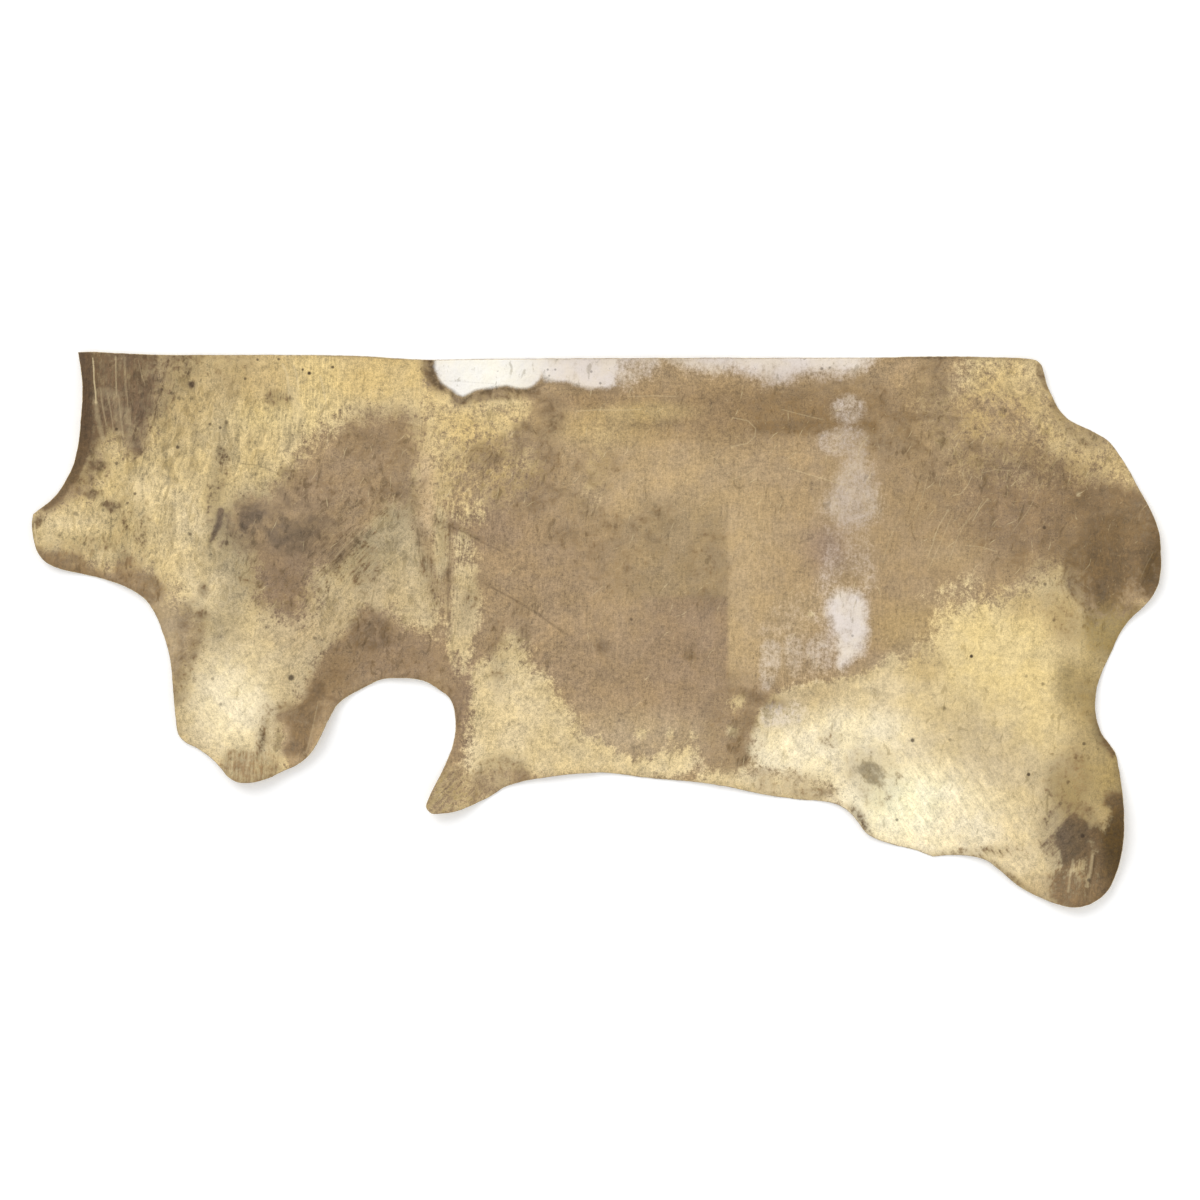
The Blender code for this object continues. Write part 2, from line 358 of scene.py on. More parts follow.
# Where each layer of colour covers the one below. A row has a level, 1 for a full cover, more for one
# that the noise leaves whole, less for a thin one and below 0 to cut it away, the softness of its rim
# and its outline.
AREAS = {
    "cream": (
        ("fore half", 2, 24, ((225, 205), (240, 100), (258, 40), (300, -20), (420, -60), (800, -60),
         (795, 100), (785, 180), (770, 250), (768, 320), (780, 360), (800, 420), (815, 480), (815, 530),
         (800, 562), (760, 545), (700, 520), (660, 530), (640, 560), (600, 600), (570, 640), (560, 680),
         (520, 710), (500, 740), (510, 800), (540, 850), (440, 920), (300, 860), (250, 770), (275, 690),
         (300, 640), (322, 590), (335, 545), (300, 520), (285, 490), (250, 462), (200, 425), (150, 440),
         (60, 405), (-60, 400), (-60, 330), (40, 316), (90, 290), (120, 245), (138, 185), (180, 205))),
        ("neck corner", 0.7, 26, ((60, -60), (310, -60), (300, 240), (90, 290), (60, 200))),
        ("under the white patch", 0.78, 22, ((785, 50), (830, 92), (900, 95), (985, 92), (990, 140),
         (960, 168), (900, 188), (850, 215), (835, 300), (770, 320))),
        ("below the white patch", 0.36, 30, ((770, 200), (860, 195), (990, 195), (1000, 250), (940, 285),
         (860, 305), (770, 330))),
        ("chest strip", 1.2, 10, ((838, 425), (872, 430), (892, 470), (896, 530), (884, 575), (868, 640),
         (845, 645), (832, 596), (836, 550), (838, 500))),
        ("chest column", 1.4, 8, ((796, 300), (826, 310), (832, 400), (828, 452), (812, 470), (802, 430))),
        ("chest column, right", 0.66, 14, ((845, 365), (872, 372), (884, 420), (880, 470), (848, 450))),
        ("belly", 1.5, 13, ((880, 640), (925, 605), (950, 575), (965, 560), (985, 590), (996, 640),
         (1024, 644), (1046, 694), (1084, 730), (1100, 770), (1140, 782), (1170, 812), (1240, 816),
         (1285, 796), (1322, 790), (1340, 835), (1250, 862), (1100, 852), (1000, 852), (960, 835),
         (900, 846), (862, 850), (870, 790), (878, 720))),
        ("hind", 2, 24, ((1480, 740), (1560, 720), (1640, 690), (1700, 652), (1735, 622), (1780, 606),
         (1808, 560), (1826, 512), (1900, 500), (1950, 492), (1990, 462), (2030, 428), (2075, 435),
         (2092, 480), (2110, 530), (2180, 520), (2300, 500), (2300, 1200), (1990, 1200), (1900, 1100),
         (1650, 1100), (1612, 920), (1590, 882), (1540, 862), (1480, 846), (1440, 840), (1436, 800),
         (1452, 770))),
        ("hind, fore", 2, 8, ((1440, 806), (1438, 760), (1450, 722), (1476, 692), (1510, 672), (1560, 663),
         (1640, 655), (1682, 640), (1708, 610), (1726, 600), (1744, 640), (1740, 760), (1600, 850),
         (1460, 840))),
        ("flank rim", 1, 14, ((1330, 838), (1440, 846), (1560, 856), (1605, 890), (1600, 920), (1430, 900),
         (1330, 870))),
        ("elbow point", 0.46, 26, ((800, 850), (850, 846), (930, 850), (960, 870), (860, 940), (770, 940))),
        ("tail", 0.78, 26, ((1860, 40), (1900, -30), (2060, -30), (2060, 60), (2120, 130), (2240, 220),
         (2240, 280), (2196, 268), (2180, 248), (2140, 262), (2100, 246), (2060, 222), (2030, 185),
         (2005, 150), (1980, 112), (1940, 100), (1880, 90))),
        ("tail, inner", 0.26, 50, ((1800, 90), (1880, 80), (1990, 110), (2060, 200), (1990, 225),
         (1880, 210), (1820, 150))),
        ("shoulder", -1, 26, ((575, 158), (640, 136), (690, 118), (757, 128), (780, 180), (770, 250),
         (745, 312), (705, 318), (685, 348), (655, 380), (625, 410), (592, 434), (562, 442), (553, 470),
         (556, 505), (544, 532), (508, 536), (474, 524), (452, 505), (446, 460), (435, 400), (405, 360),
         (395, 325), (420, 300), (470, 285), (505, 258), (515, 222), (548, 188))),
        ("below the shoulder", 1.3, 9, ((666, 366), (684, 338), (704, 316), (722, 318), (742, 318),
         (764, 345), (788, 400), (800, 440), (740, 480), (640, 470), (598, 448), (606, 430), (636, 398))),
        ("fore bay", -1, 9, ((655, 508), (648, 540), (632, 552), (616, 570), (598, 588), (580, 606),
         (568, 624), (560, 645), (550, 660), (544, 675), (548, 690), (532, 704), (516, 716), (498, 720),
         (488, 730), (498, 755), (505, 775), (494, 795), (520, 860), (700, 720), (862, 720), (862, 640),
         (846, 600), (825, 585), (810, 592), (780, 592), (760, 575), (725, 556), (700, 535), (680, 512))),
    ),
    "dark": (
        ("neck corner", 0.84, 16, ((60, -40), (250, -40), (254, 20), (248, 60), (240, 110), (230, 150),
         (214, 195), (204, 215), (192, 195), (178, 165), (140, 172), (120, 205), (85, 275), (50, 306),
         (20, 322), (20, 290), (60, 230), (80, 150))),
        ("neck cut", 1.3, 6, ((80, -10), (122, -10), (125, 60), (125, 105), (128, 150), (120, 200),
         (98, 250), (70, 290), (45, 312), (20, 325), (15, 300), (60, 260), (85, 180), (90, 100))),
        ("neck side", 0.46, 24, ((245, -20), (335, -20), (330, 36), (296, 50), (270, 100), (256, 140),
         (240, 120))),
        ("neck, back cut", 0.16, 16, ((365, -20), (440, -20), (425, 50), (395, 60), (370, 40))),
        ("neck edge", 0.5, 16, ((100, 190), (150, 215), (150, 235), (120, 250), (95, 285), (60, 300),
         (60, 260))),
        ("flap", 0.66, 14, ((-20, 385), (25, 404), (60, 398), (90, 412), (112, 432), (150, 452), (205, 470),
         (215, 500), (150, 490), (40, 470), (-20, 420))),
        ("flap, rear", 0.62, 15, ((160, 415), (195, 400), (205, 440), (235, 455), (262, 480), (245, 505),
         (180, 470))),
        ("brisket wedge", 0.4, 18, ((305, 505), (336, 505), (332, 580), (315, 630), (298, 690), (285, 700),
         (296, 640), (304, 580))),
        ("shoulder, low", 0.3, 36, ((440, 420), (545, 430), (565, 465), (535, 500), (480, 510),
         (440, 470))),
        ("smudge 1", 1.1, 9, ((412, 316), (440, 320), (468, 308), (474, 326), (454, 344), (434, 352),
         (422, 372), (405, 352))),
        ("smudge 2", 1.05, 10, ((478, 382), (500, 364), (530, 350), (568, 350), (572, 372), (542, 392),
         (520, 386), (500, 400), (480, 396))),
        ("smudge 3", 1.2, 6, ((370, 310), (386, 316), (381, 345), (368, 372), (356, 386), (353, 374),
         (363, 345))),
        ("shoulder, back", 0.26, 30, ((640, 150), (690, 128), (765, 132), (770, 205), (700, 210),
         (640, 205))),
        ("fore shank side", 0.95, 12, ((512, 728), (540, 708), (556, 672), (572, 655), (588, 664),
         (580, 700), (566, 750), (552, 800), (530, 812), (500, 800), (516, 780), (510, 755))),
        ("fore bay, upper", 0.5, 22, ((640, 540), (655, 520), (690, 530), (720, 560), (700, 600),
         (640, 590))),
        ("fore shank tip", 0.6, 10, ((385, 812), (402, 796), (448, 806), (490, 822), (490, 850), (430, 890),
         (385, 850))),
        ("fore bay", 0.24, 34, ((570, 640), (640, 570), (740, 590), (800, 640), (860, 700), (800, 700),
         (640, 700), (560, 740))),
        ("elbow point", 0.28, 22, ((796, 850), (850, 846), (880, 870), (860, 940), (770, 940), (775, 900))),
        ("belly, fore", 0.36, 18, ((892, 845), (915, 818), (980, 822), (986, 852), (920, 874), (888, 868))),
        ("patch underside", 0.5, 8, ((836, 84), (850, 94), (862, 98), (880, 88), (905, 80), (950, 78),
         (1008, 76), (1016, 88), (980, 92), (930, 92), (892, 98), (862, 108), (844, 104))),
        ("patch halo", 0.66, 12, ((780, 6), (806, 0), (806, 50), (830, 78), (818, 84), (794, 66),
         (780, 40))),
        ("below the patch", 0.42, 20, ((1008, 100), (1050, 105), (1055, 152), (1030, 178), (1008, 160))),
        ("diagonal", 0.36, 17, ((875, 205), (905, 190), (940, 180), (965, 165), (985, 145), (1000, 155),
         (975, 200), (935, 218), (885, 218))),
        ("back band", 0.6, 13, ((1440, 144), (1560, 140), (1700, 143), (1706, 160), (1560, 164),
         (1440, 162))),
        ("back, rear", 0.3, 22, ((1440, 95), (1700, 60), (1720, 140), (1440, 140))),
        ("rump", 0.95, 18, ((2100, 340), (2125, 322), (2170, 318), (2215, 335), (2300, 380), (2300, 470),
         (2240, 492), (2214, 486), (2196, 460), (2180, 500), (2152, 536), (2128, 530), (2112, 480),
         (2096, 420), (2094, 380))),
        ("rump, above", 0.8, 14, ((2092, 276), (2150, 268), (2190, 276), (2236, 300), (2280, 380),
         (2235, 352), (2170, 322), (2110, 326), (2082, 310))),
        ("rump fringe", 0.7, 14, ((2055, 400), (2100, 380), (2112, 440), (2125, 520), (2095, 512),
         (2066, 480))),
        ("hock haze", 0.3, 30, ((2030, 480), (2100, 470), (2110, 560), (2070, 560), (2040, 520))),
        ("rump, back edge", 0.36, 14, ((2036, 96), (2060, 120), (2110, 150), (2150, 176), (2120, 190),
         (2070, 165))),
        ("rump, fore", 0.3, 50, ((1925, 300), (2000, 245), (2120, 290), (2090, 410), (1990, 430),
         (1915, 395))),
        ("hock", 0.5, 20, ((2100, 500), (2140, 512), (2215, 505), (2190, 560), (2155, 610), (2125, 600),
         (2105, 560))),
        ("hock bay", 0.3, 14, ((2100, 664), (2140, 660), (2150, 740), (2110, 730), (2095, 700))),
        ("hock rim", 0.9, 9, ((2126, 738), (2142, 748), (2170, 800), (2156, 812), (2134, 782))),
        ("shank band", 1.5, 8, ((2138, 900), (2148, 884), (2166, 878), (2200, 896), (2200, 1030),
         (2160, 1100), (2116, 1096), (2124, 1060), (2119, 1015), (2128, 980), (2142, 950), (2150, 935),
         (2152, 915), (2142, 910))),
        ("worn patch", 1.3, 7, ((2042, 965), (2058, 938), (2078, 921), (2102, 931), (2120, 946),
         (2116, 975), (2124, 1000), (2114, 1022), (2088, 1017), (2073, 1044), (2054, 1034), (2052, 1004),
         (2044, 985))),
        ("worn patch haze", 0.4, 16, ((2010, 960), (2060, 900), (2110, 910), (2130, 960), (2120, 1040),
         (2060, 1080), (2040, 1020))),
        ("hind shank, between", 0.95, 14, ((2098, 950), (2140, 940), (2150, 1000), (2140, 1090),
         (2096, 1090), (2096, 1010))),
        ("hind shank back", 0.34, 22, ((2036, 830), (2086, 806), (2104, 850), (2084, 905), (2046, 912))),
        ("hind shank tip", 1, 14, ((2036, 1044), (2060, 1032), (2100, 1050), (2160, 1050), (2150, 1130),
         (2070, 1130), (2034, 1096))),
        ("scar", 0.85, 9, ((1650, 832), (1664, 824), (1680, 820), (1694, 828), (1700, 845), (1704, 862),
         (1698, 872), (1684, 872), (1672, 866), (1662, 856), (1650, 844))),
        ("scar haze", 0.28, 24, ((1640, 808), (1690, 804), (1722, 850), (1712, 888), (1680, 900),
         (1655, 870))),
        ("flank", 0.2, 22, ((1450, 846), (1520, 852), (1560, 862), (1576, 876), (1530, 880), (1450, 868))),
        ("belly, hind", 0.14, 32, ((1400, 668), (1445, 675), (1450, 700), (1440, 760), (1425, 800),
         (1405, 830), (1380, 810), (1370, 740))),
        ("tail edge", 0.6, 5, ((2008, 24), (2030, 20), (2040, 80), (2028, 82), (2016, 66), (2009, 48))),
        ("tail shade", 0.3, 34, ((1860, 190), (1990, 210), (2090, 250), (2150, 280), (2080, 310),
         (1900, 270))),
    ),
    # Whitish patches along the back cut and down a column over the loin ridge.
    "pale": (
        ("white patch", 3, 4, ((800, 25), (803, 40), (812, 60), (825, 70), (838, 78), (848, 88), (860, 93),
         (872, 86), (885, 79), (900, 77), (920, 75), (935, 71), (950, 70), (965, 75), (985, 76), (1000, 72),
         (1012, 62), (1018, 50), (1018, -30), (812, -30))),
        ("lilac", 0.94, 8, ((1005, -30), (1015, 58), (1040, 62), (1072, 62), (1086, 72), (1120, 75),
         (1162, 74), (1170, 60), (1172, -30))),
        ("lilac fade", 0.58, 26, ((1160, -30), (1160, 64), (1225, 50), (1250, 20), (1260, -30))),
        ("lilac, middle", 0.84, 20, ((1230, -30), (1270, 24), (1340, 38), (1420, 36), (1420, -30))),
        ("back bloom", 1, 22, ((1355, -30), (1360, 30), (1430, 38), (1455, 52), (1480, 64), (1505, 62),
         (1530, 46), (1600, 48), (1645, 42), (1678, 26), (1690, -30))),
        ("bloom 1", 0.4, 18, ((1604, 104), (1652, 98), (1658, 134), (1606, 138))),
        ("bloom 2", 0.38, 20, ((1580, 178), (1600, 164), (1660, 162), (1662, 192), (1620, 204),
         (1582, 196))),
        ("bloom 3", 0.42, 18, ((1636, 190), (1662, 190), (1658, 250), (1636, 250))),
        ("bloom 4", 0.52, 36, ((1636, 226), (1652, 226), (1676, 290), (1684, 316), (1640, 345), (1588, 318),
         (1606, 280))),
        ("bloom 5", 0.2, 34, ((1610, 330), (1650, 330), (1650, 400), (1662, 490), (1592, 490),
         (1612, 400))),
        ("bloom 6", 0.95, 17, ((1592, 480), (1664, 478), (1668, 560), (1662, 596), (1640, 616), (1616, 638),
         (1608, 628), (1615, 600), (1597, 550), (1588, 520))),
        ("salt 1", 0.42, 14, ((1460, 590), (1480, 578), (1492, 600), (1486, 650), (1466, 678),
         (1460, 650))),
        ("salt 2", 0.3, 14, ((1510, 570), (1530, 575), (1536, 640), (1514, 650))),
        ("salt 3", 0.32, 18, ((1552, 590), (1588, 560), (1600, 610), (1586, 636), (1556, 630))),
        ("salt wash", 0.12, 30, ((1480, 520), (1590, 500), (1600, 620), (1560, 650), (1480, 640))),
        ("salt 4", 0.3, 16, ((1462, 724), (1476, 714), (1530, 708), (1545, 730), (1500, 744), (1466, 744))),
    ),
}

# Round spots on the same layers.
SPOTS = {
    "cream": (
        # level, softness, along, down, half-length, half-width, turn
        (0.72, 16, 785, 275, 24, 60, 0),
        (0.72, 12, 785, 342, 14, 44, 0),
        (0.7, 8, 1400, 762, 10, 9, 0),
        (0.9, 5, 1418, 839, 9, 8, 0),
        (0.6, 7, 1215, 765, 9, 7, 0),
        (0.6, 7, 1275, 765, 8, 6, 0),
        (0.6, 7, 1320, 770, 7, 7, 0),
        (0.7, 9, 1412, 700, 14, 8, 30),
        (0.8, 8, 1440, 800, 12, 16, 0),
        (0.9, 3, 1556, 527, 5, 4, 0),
        (0.5, 18, 1885, 150, 26, 26, 0),
        (0.3, 20, 1846, 482, 26, 14, 20),
        (0.9, 7, 840, 602, 6, 40, 12),
        (0.5, 12, 868, 326, 26, 12, 0),
        (0.4, 12, 985, 240, 9, 30, 0),
        (0.2, 16, 1130, 235, 10, 40, -12),
    ),
    "dark": (
        (1.0, 10, 218, 108, 28, 32, 0),
        (1.0, 10, 150, 132, 18, 36, 0),
        (1.0, 12, 158, 44, 32, 30, 0),
        (0.7, 12, 205, 170, 12, 30, 0),
        (0.5, 26, 440, 350, 60, 44, 0),
        (0.6, 30, 540, 370, 76, 36, 0),
        (0.4, 22, 622, 410, 40, 18, 40),
        (0.36, 18, 660, 430, 20, 30, 0),
        (0.44, 24, 282, 24, 40, 20, 0),
        (0.24, 22, 1130, 238, 30, 26, 0),
        (0.34, 26, 548, 285, 40, 30, 0),
        (0.3, 18, 1024, 225, 20, 26, 0),
        (0.26, 26, 985, 285, 40, 24, 0),
        (0.9, 9, 158, 312, 16, 11, 0),
        (0.9, 8, 130, 228, 20, 14, 0),
        (0.6, 9, 118, 286, 14, 8, 0),
        (0.6, 8, 12, 342, 12, 5, 40),
        (0.44, 10, 484, 95, 12, 11, 0),
        (0.34, 14, 366, 285, 9, 44, -8),
        (0.3, 10, 505, 97, 9, 8, 0),
        (0.55, 12, 378, 212, 9, 14, 0),
        (0.9, 6, 318, 67, 8, 7, 0),
        (0.8, 7, 342, 480, 8, 12, 0),
        (0.8, 9, 335, 530, 13, 10, 0),
        (0.26, 12, 180, 362, 8, 26, 0),
        (0.24, 12, 215, 372, 7, 30, 0),
        (0.24, 14, 105, 385, 26, 8, 0),
        (0.6, 12, 222, 452, 30, 10, -30),
        (0.5, 12, 512, 250, 12, 12, 0),
        (0.3, 40, 720, 285, 40, 30, 0),
        (0.44, 12, 786, 412, 9, 44, 12),
        (0.34, 10, 826, 412, 6, 34, 0),
        (0.24, 12, 812, 462, 16, 8, 0),
        (0.4, 9, 850, 358, 24, 5, -24),
        (0.6, 9, 2110, 690, 16, 9, 0),
        (0.3, 12, 1597, 778, 12, 9, 0),
        (0.4, 10, 1556, 884, 24, 6, 0),
        (0.26, 14, 1500, 866, 30, 8, -10),
        (1.0, 6, 1697, 852, 7, 14, 0),
        (1.0, 6, 1672, 827, 18, 5, 0),
        (0.7, 9, 1655, 934, 18, 6, -60),
        (0.34, 10, 1884, 1004, 40, 6, 4),
        (0.4, 8, 1935, 1038, 36, 4, -38),
        (0.55, 10, 1140, 592, 10, 9, 0),
        (0.55, 9, 1313, 610, 8, 7, 0),
        (0.3, 12, 880, 486, 20, 6, 70),
        (0.26, 14, 934, 606, 10, 36, 0),
        (0.2, 14, 975, 556, 12, 30, 0),
        (0.45, 12, 1434, 742, 12, 18, 0),
        (0.44, 12, 1420, 810, 14, 16, 0),
        (0.7, 14, 1446, 694, 32, 9, -20),
        (0.6, 14, 1412, 786, 16, 26, 0),
        (0.8, 10, 459, 784, 7, 36, -8),
        (0.3, 16, 478, 770, 14, 34, 0),
        (0.5, 14, 505, 720, 20, 10, 30),
        (0.5, 16, 2212, 420, 14, 26, 0),
        (0.35, 40, 1750, 160, 60, 30, 0),
        (0.35, 30, 1800, 100, 14, 70, 0),
        (0.2, 34, 1120, 395, 60, 30, -40),
        (0.26, 22, 1160, 345, 50, 9, -28),
        (0.3, 20, 1250, 330, 24, 18, 0),
        (0.24, 30, 1355, 430, 20, 40, 0),
    ),
    "pale": (
        (0.2, 20, 1690, 740, 36, 20, 0),
    ),
}

# The colour of each layer, and the soft patches over it.
BASES = {"ground": "tan", "cream": "cream", "dark": "dark brown", "pale": "lilac"}
TINTS = {
    "ground": (
        # colour, strength, along, down, half-length, half-width, turn
        ("light tan", 0.7, 1250, 270, 200, 90, 0),
        ("yellow tan", 0.7, 1140, 155, 120, 40, 0),
        ("taupe", 0.5, 1010, 410, 150, 110, 0),
        ("taupe", 0.4, 1150, 630, 220, 90, 0),
        ("brown tan", 0.9, 1470, 120, 340, 60, 0),
        ("taupe", 0.5, 1340, 720, 150, 90, 0),
        ("brown tan", 0.4, 1830, 290, 130, 150, 0),
        ("light tan", 0.5, 1850, 410, 70, 30, 0),
        ("brisket", 0.8, 1210, 770, 150, 50, 0),
        ("tan", 0.9, 640, 685, 50, 26, -20),
        ("tan", 0.9, 1830, 26, 44, 24, 0),
        ("yellow tan", 0.8, 1220, 122, 100, 22, 0),
        ("light tan", 0.6, 1540, 530, 60, 50, 0),
        ("taupe", 0.2, 1710, 230, 50, 50, 0),
        ("brown tan", 1, 2030, 300, 150, 120, -20),
        ("brown", 0.3, 2050, 300, 60, 60, 0),
        ("mauve", 0.7, 1590, 395, 50, 50, 0),
        ("taupe", 0.7, 1960, 310, 110, 100, -20),
        ("taupe", 0.45, 650, 240, 130, 100, 30),
        ("taupe", 0.4, 560, 290, 80, 50, 30),
        ("taupe", 0.7, 900, 350, 90, 50, 0),
        ("taupe", 0.5, 1000, 250, 60, 60, 0),
        ("brown tan", 0.35, 1740, 550, 80, 80, 0),
        ("taupe", 0.5, 1620, 590, 90, 50, 0),
        ("taupe", 0.5, 680, 550, 50, 40, 0),
        ("light tan", 0.5, 1500, 560, 60, 70, 0),
        ("brown tan", 0.4, 690, 160, 110, 50, 0),
        ("taupe", 1, 500, 460, 100, 100, 0),
        ("taupe", 0.9, 720, 610, 150, 60, 0),
        ("brown tan", 0.9, 600, 650, 44, 70, 0),
        ("taupe", 0.9, 862, 700, 34, 140, 0),
        ("brown tan", 0.3, 900, 215, 90, 30, 0),
        ("brown tan", 0.6, 1120, 98, 90, 20, 0),
        ("brisket", 0.95, 268, 570, 50, 130, 0),
        ("tan", 0.8, 830, 890, 60, 50, 0),
        ("taupe", 0.3, 1140, 560, 260, 120, 0),
        ("straw", 0.5, 1760, 560, 90, 60, 0),
        ("brisket", 0.5, 1700, 640, 120, 30, 20),
        ("brisket", 0.9, 1500, 866, 120, 40, -6),
    ),
    "cream": (
        ("yellow", 0.95, 660, 50, 230, 66, 0),
        ("deep yellow", 0.6, 556, 50, 60, 70, 0),
        ("deep yellow", 0.5, 540, 120, 80, 50, 12),
        ("deep yellow", 1, 458, 124, 64, 40, 0),
        ("neck cream", 1, 200, 290, 240, 150, 0),
        ("straw", 0.7, 430, 60, 110, 66, 0),
        ("straw", 0.6, 290, 90, 70, 100, 0),
        ("neck cream", 0.8, 460, 230, 70, 60, 0),
        ("grey green", 0.85, 715, 375, 110, 80, 30),
        ("grey green", 0.8, 400, 410, 60, 110, 0),
        ("grey green", 0.8, 378, 555, 44, 60, 0),
        ("grey green", 0.6, 460, 290, 60, 40, 0),
        ("mid cream", 0.7, 730, 490, 110, 60, 0),
        ("dull cream", 0.7, 775, 450, 40, 110, 0),
        ("mid cream", 0.9, 560, 560, 130, 70, 30),
        ("light cream", 0.7, 250, 290, 60, 50, 0),
        ("light cream", 0.8, 305, 345, 44, 56, 0),
        ("light cream", 0.6, 60, 345, 80, 26, 0),
        ("yellow", 0.8, 870, 165, 70, 36, 0),
        ("light cream", 0.6, 340, 480, 50, 50, 0),
        ("ivory", 0.8, 400, 705, 84, 96, 10),
        ("dull cream", 0.8, 530, 660, 50, 60, 0),
        ("yellow", 0.7, 890, 150, 120, 50, 0),
        ("straw", 0.8, 900, 250, 160, 60, 0),
        ("pink cream", 0.8, 786, 300, 20, 100, 0),
        ("straw", 0.8, 1140, 170, 130, 80, 0),
        ("deep yellow", 0.95, 1940, 600, 150, 120, 0),
        ("deep yellow", 0.5, 2020, 720, 80, 90, 0),
        ("ivory", 0.95, 1530, 805, 140, 60, 0),
        ("ivory", 1, 1800, 910, 180, 95, -26),
        ("ivory", 1, 1650, 915, 80, 40, -40),
        ("ivory", 0.9, 1760, 975, 110, 34, -8),
        ("white ivory", 0.8, 1750, 905, 90, 60, 0),
        ("ivory", 0.9, 1660, 758, 100, 52, 0),
        ("dull cream", 0.4, 1860, 740, 60, 40, 0),
        ("lilac cream", 0.5, 1930, 810, 80, 50, -30),
        ("light cream", 1, 1950, 985, 110, 52, -24),
        ("ivory", 0.9, 1868, 945, 70, 40, -24),
        ("mid cream", 0.9, 2016, 1080, 40, 34, -30),
        ("light cream", 0.7, 1500, 878, 90, 22, -6),
        ("straw", 0.7, 1985, 505, 50, 34, 0),
        ("straw", 0.6, 1786, 630, 40, 40, 0),
        ("dull cream", 0.9, 2050, 930, 46, 110, 0),
        ("straw", 1, 2125, 870, 70, 90, 0),
        ("hock cream", 0.9, 2092, 680, 50, 74, 0),
        ("hock cream", 1, 2114, 790, 46, 60, 0),
        ("hock cream", 1, 2112, 900, 60, 76, 0),
        # The olive tints from here to the olive umber rows darken the colour towards the right-hand cut
        # edge: partly stain and partly painted shade where the edge curls up.
        ("olive", 0.5, 2128, 860, 34, 50, 0),
        ("olive", 0.6, 2070, 660, 24, 50, 0),
        ("olive", 0.8, 2160, 560, 64, 64, 0),
        ("olive", 0.6, 2122, 690, 34, 90, 0),
        ("olive", 0.8, 2172, 840, 34, 90, 0),
        ("olive umber", 0.5, 2134, 740, 16, 50, 0),
        ("olive umber", 0.6, 2184, 830, 18, 60, 0),
        ("olive", 0.4, 2060, 880, 30, 60, 30),
        ("mid cream", 0.7, 1540, 690, 110, 24, 10),
        ("light cream", 0.9, 1690, 684, 70, 34, 14),
        ("straw", 0.7, 2000, 120, 110, 80, 0),
        ("yellow", 0.6, 1940, 50, 60, 36, 0),
        ("straw", 0.8, 2120, 220, 100, 60, 0),
        ("straw", 0.9, 1900, 160, 120, 70, 0),
        ("light cream", 0.6, 960, 720, 60, 110, 0),
        ("light cream", 0.8, 880, 820, 40, 60, 0),
        ("mid cream", 0.5, 860, 520, 50, 110, 0),
        ("light cream", 0.7, 1300, 836, 90, 26, 0),
        ("light cream", 0.6, 640, 690, 60, 40, 0),
        ("straw", 0.6, 1910, 96, 70, 40, 0),
        ("straw", 0.7, 2060, 540, 40, 60, 0),
        ("light cream", 0.6, 460, 620, 50, 40, 0),
    ),
    "dark": (
        ("neck umber", 1, 190, 100, 130, 170, 0),
        ("neck strip", 1, 106, 70, 24, 130, 0),
        ("brown", 0.9, 60, 300, 60, 50, 0),
        ("brown tan", 0.9, 80, 430, 160, 50, 0),
        ("brown tan", 0.7, 240, 470, 60, 50, 0),
        ("smudge", 1, 480, 350, 130, 80, 0),
        ("smudge", 1, 366, 340, 30, 70, 0),
        ("brown", 0.5, 640, 160, 100, 50, 0),
        ("brown", 0.9, 530, 760, 70, 90, 0),
        ("brown tan", 0.9, 430, 830, 70, 50, 0),
        ("olive", 0.8, 830, 890, 70, 50, 0),
        ("brown", 0.8, 920, 860, 60, 40, 0),
        ("rump umber", 1, 2160, 400, 170, 160, 0),
        ("brown", 1, 2170, 290, 90, 40, -20),
        ("brown", 0.7, 2196, 380, 24, 60, 0),
        ("shank umber", 0.6, 2236, 430, 14, 60, -20),
        ("brown", 0.8, 1980, 330, 110, 90, 0),
        ("olive", 0.9, 2150, 570, 70, 60, 0),
        ("olive", 0.8, 2115, 690, 40, 50, 0),
        ("rump umber", 1, 2150, 775, 30, 40, 0),
        ("shank umber", 1, 2165, 980, 50, 140, 0),
        ("wear_and_rim_shade", 1, 2080, 985, 36, 70, 0),
        ("dark brown", 0.9, 2122, 1014, 18, 56, 0),
        ("brown", 0.9, 2080, 1080, 70, 50, 0),
        ("olive brown", 0.8, 2110, 860, 70, 70, 0),
        ("smudge", 0.8, 2040, 960, 40, 60, 0),
        ("grey", 1, 1680, 850, 80, 60, 0),
        ("brown", 0.8, 1300, 590, 120, 110, 0),
        ("brown", 0.8, 1500, 880, 120, 50, 0),
        ("brown", 0.8, 1425, 750, 70, 110, 0),
        ("olive brown", 0.9, 1570, 130, 190, 60, 0),
    ),
    "pale": (
        ("white", 1, 900, 30, 124, 110, 0),
        ("salt", 0.8, 1520, 620, 70, 70, 0),
        ("salt", 0.6, 1300, 30, 80, 40, 0),
        ("dusk", 0.8, 1630, 270, 80, 130, 0),
        ("dusk", 0.6, 1540, 60, 160, 26, 0),
        ("ivory", 0.9, 1700, 760, 140, 100, 0),
    ),
}

# Straight-edged panels on the ground colour, each with the place and the softness of its four sides.
PANELS = (
    # colour, strength, left, top, right, bottom
    ("green tan", 0.55, (1190, 80), (305, 50), (1393, 5), (500, 20)),
    ("panel", 0.75, (1235, 60), (492, 9), (1390, 5), (660, 70)),
    ("light tan", 0.85, (1391, 5), (300, 60), (1480, 70), (655, 40)),
)

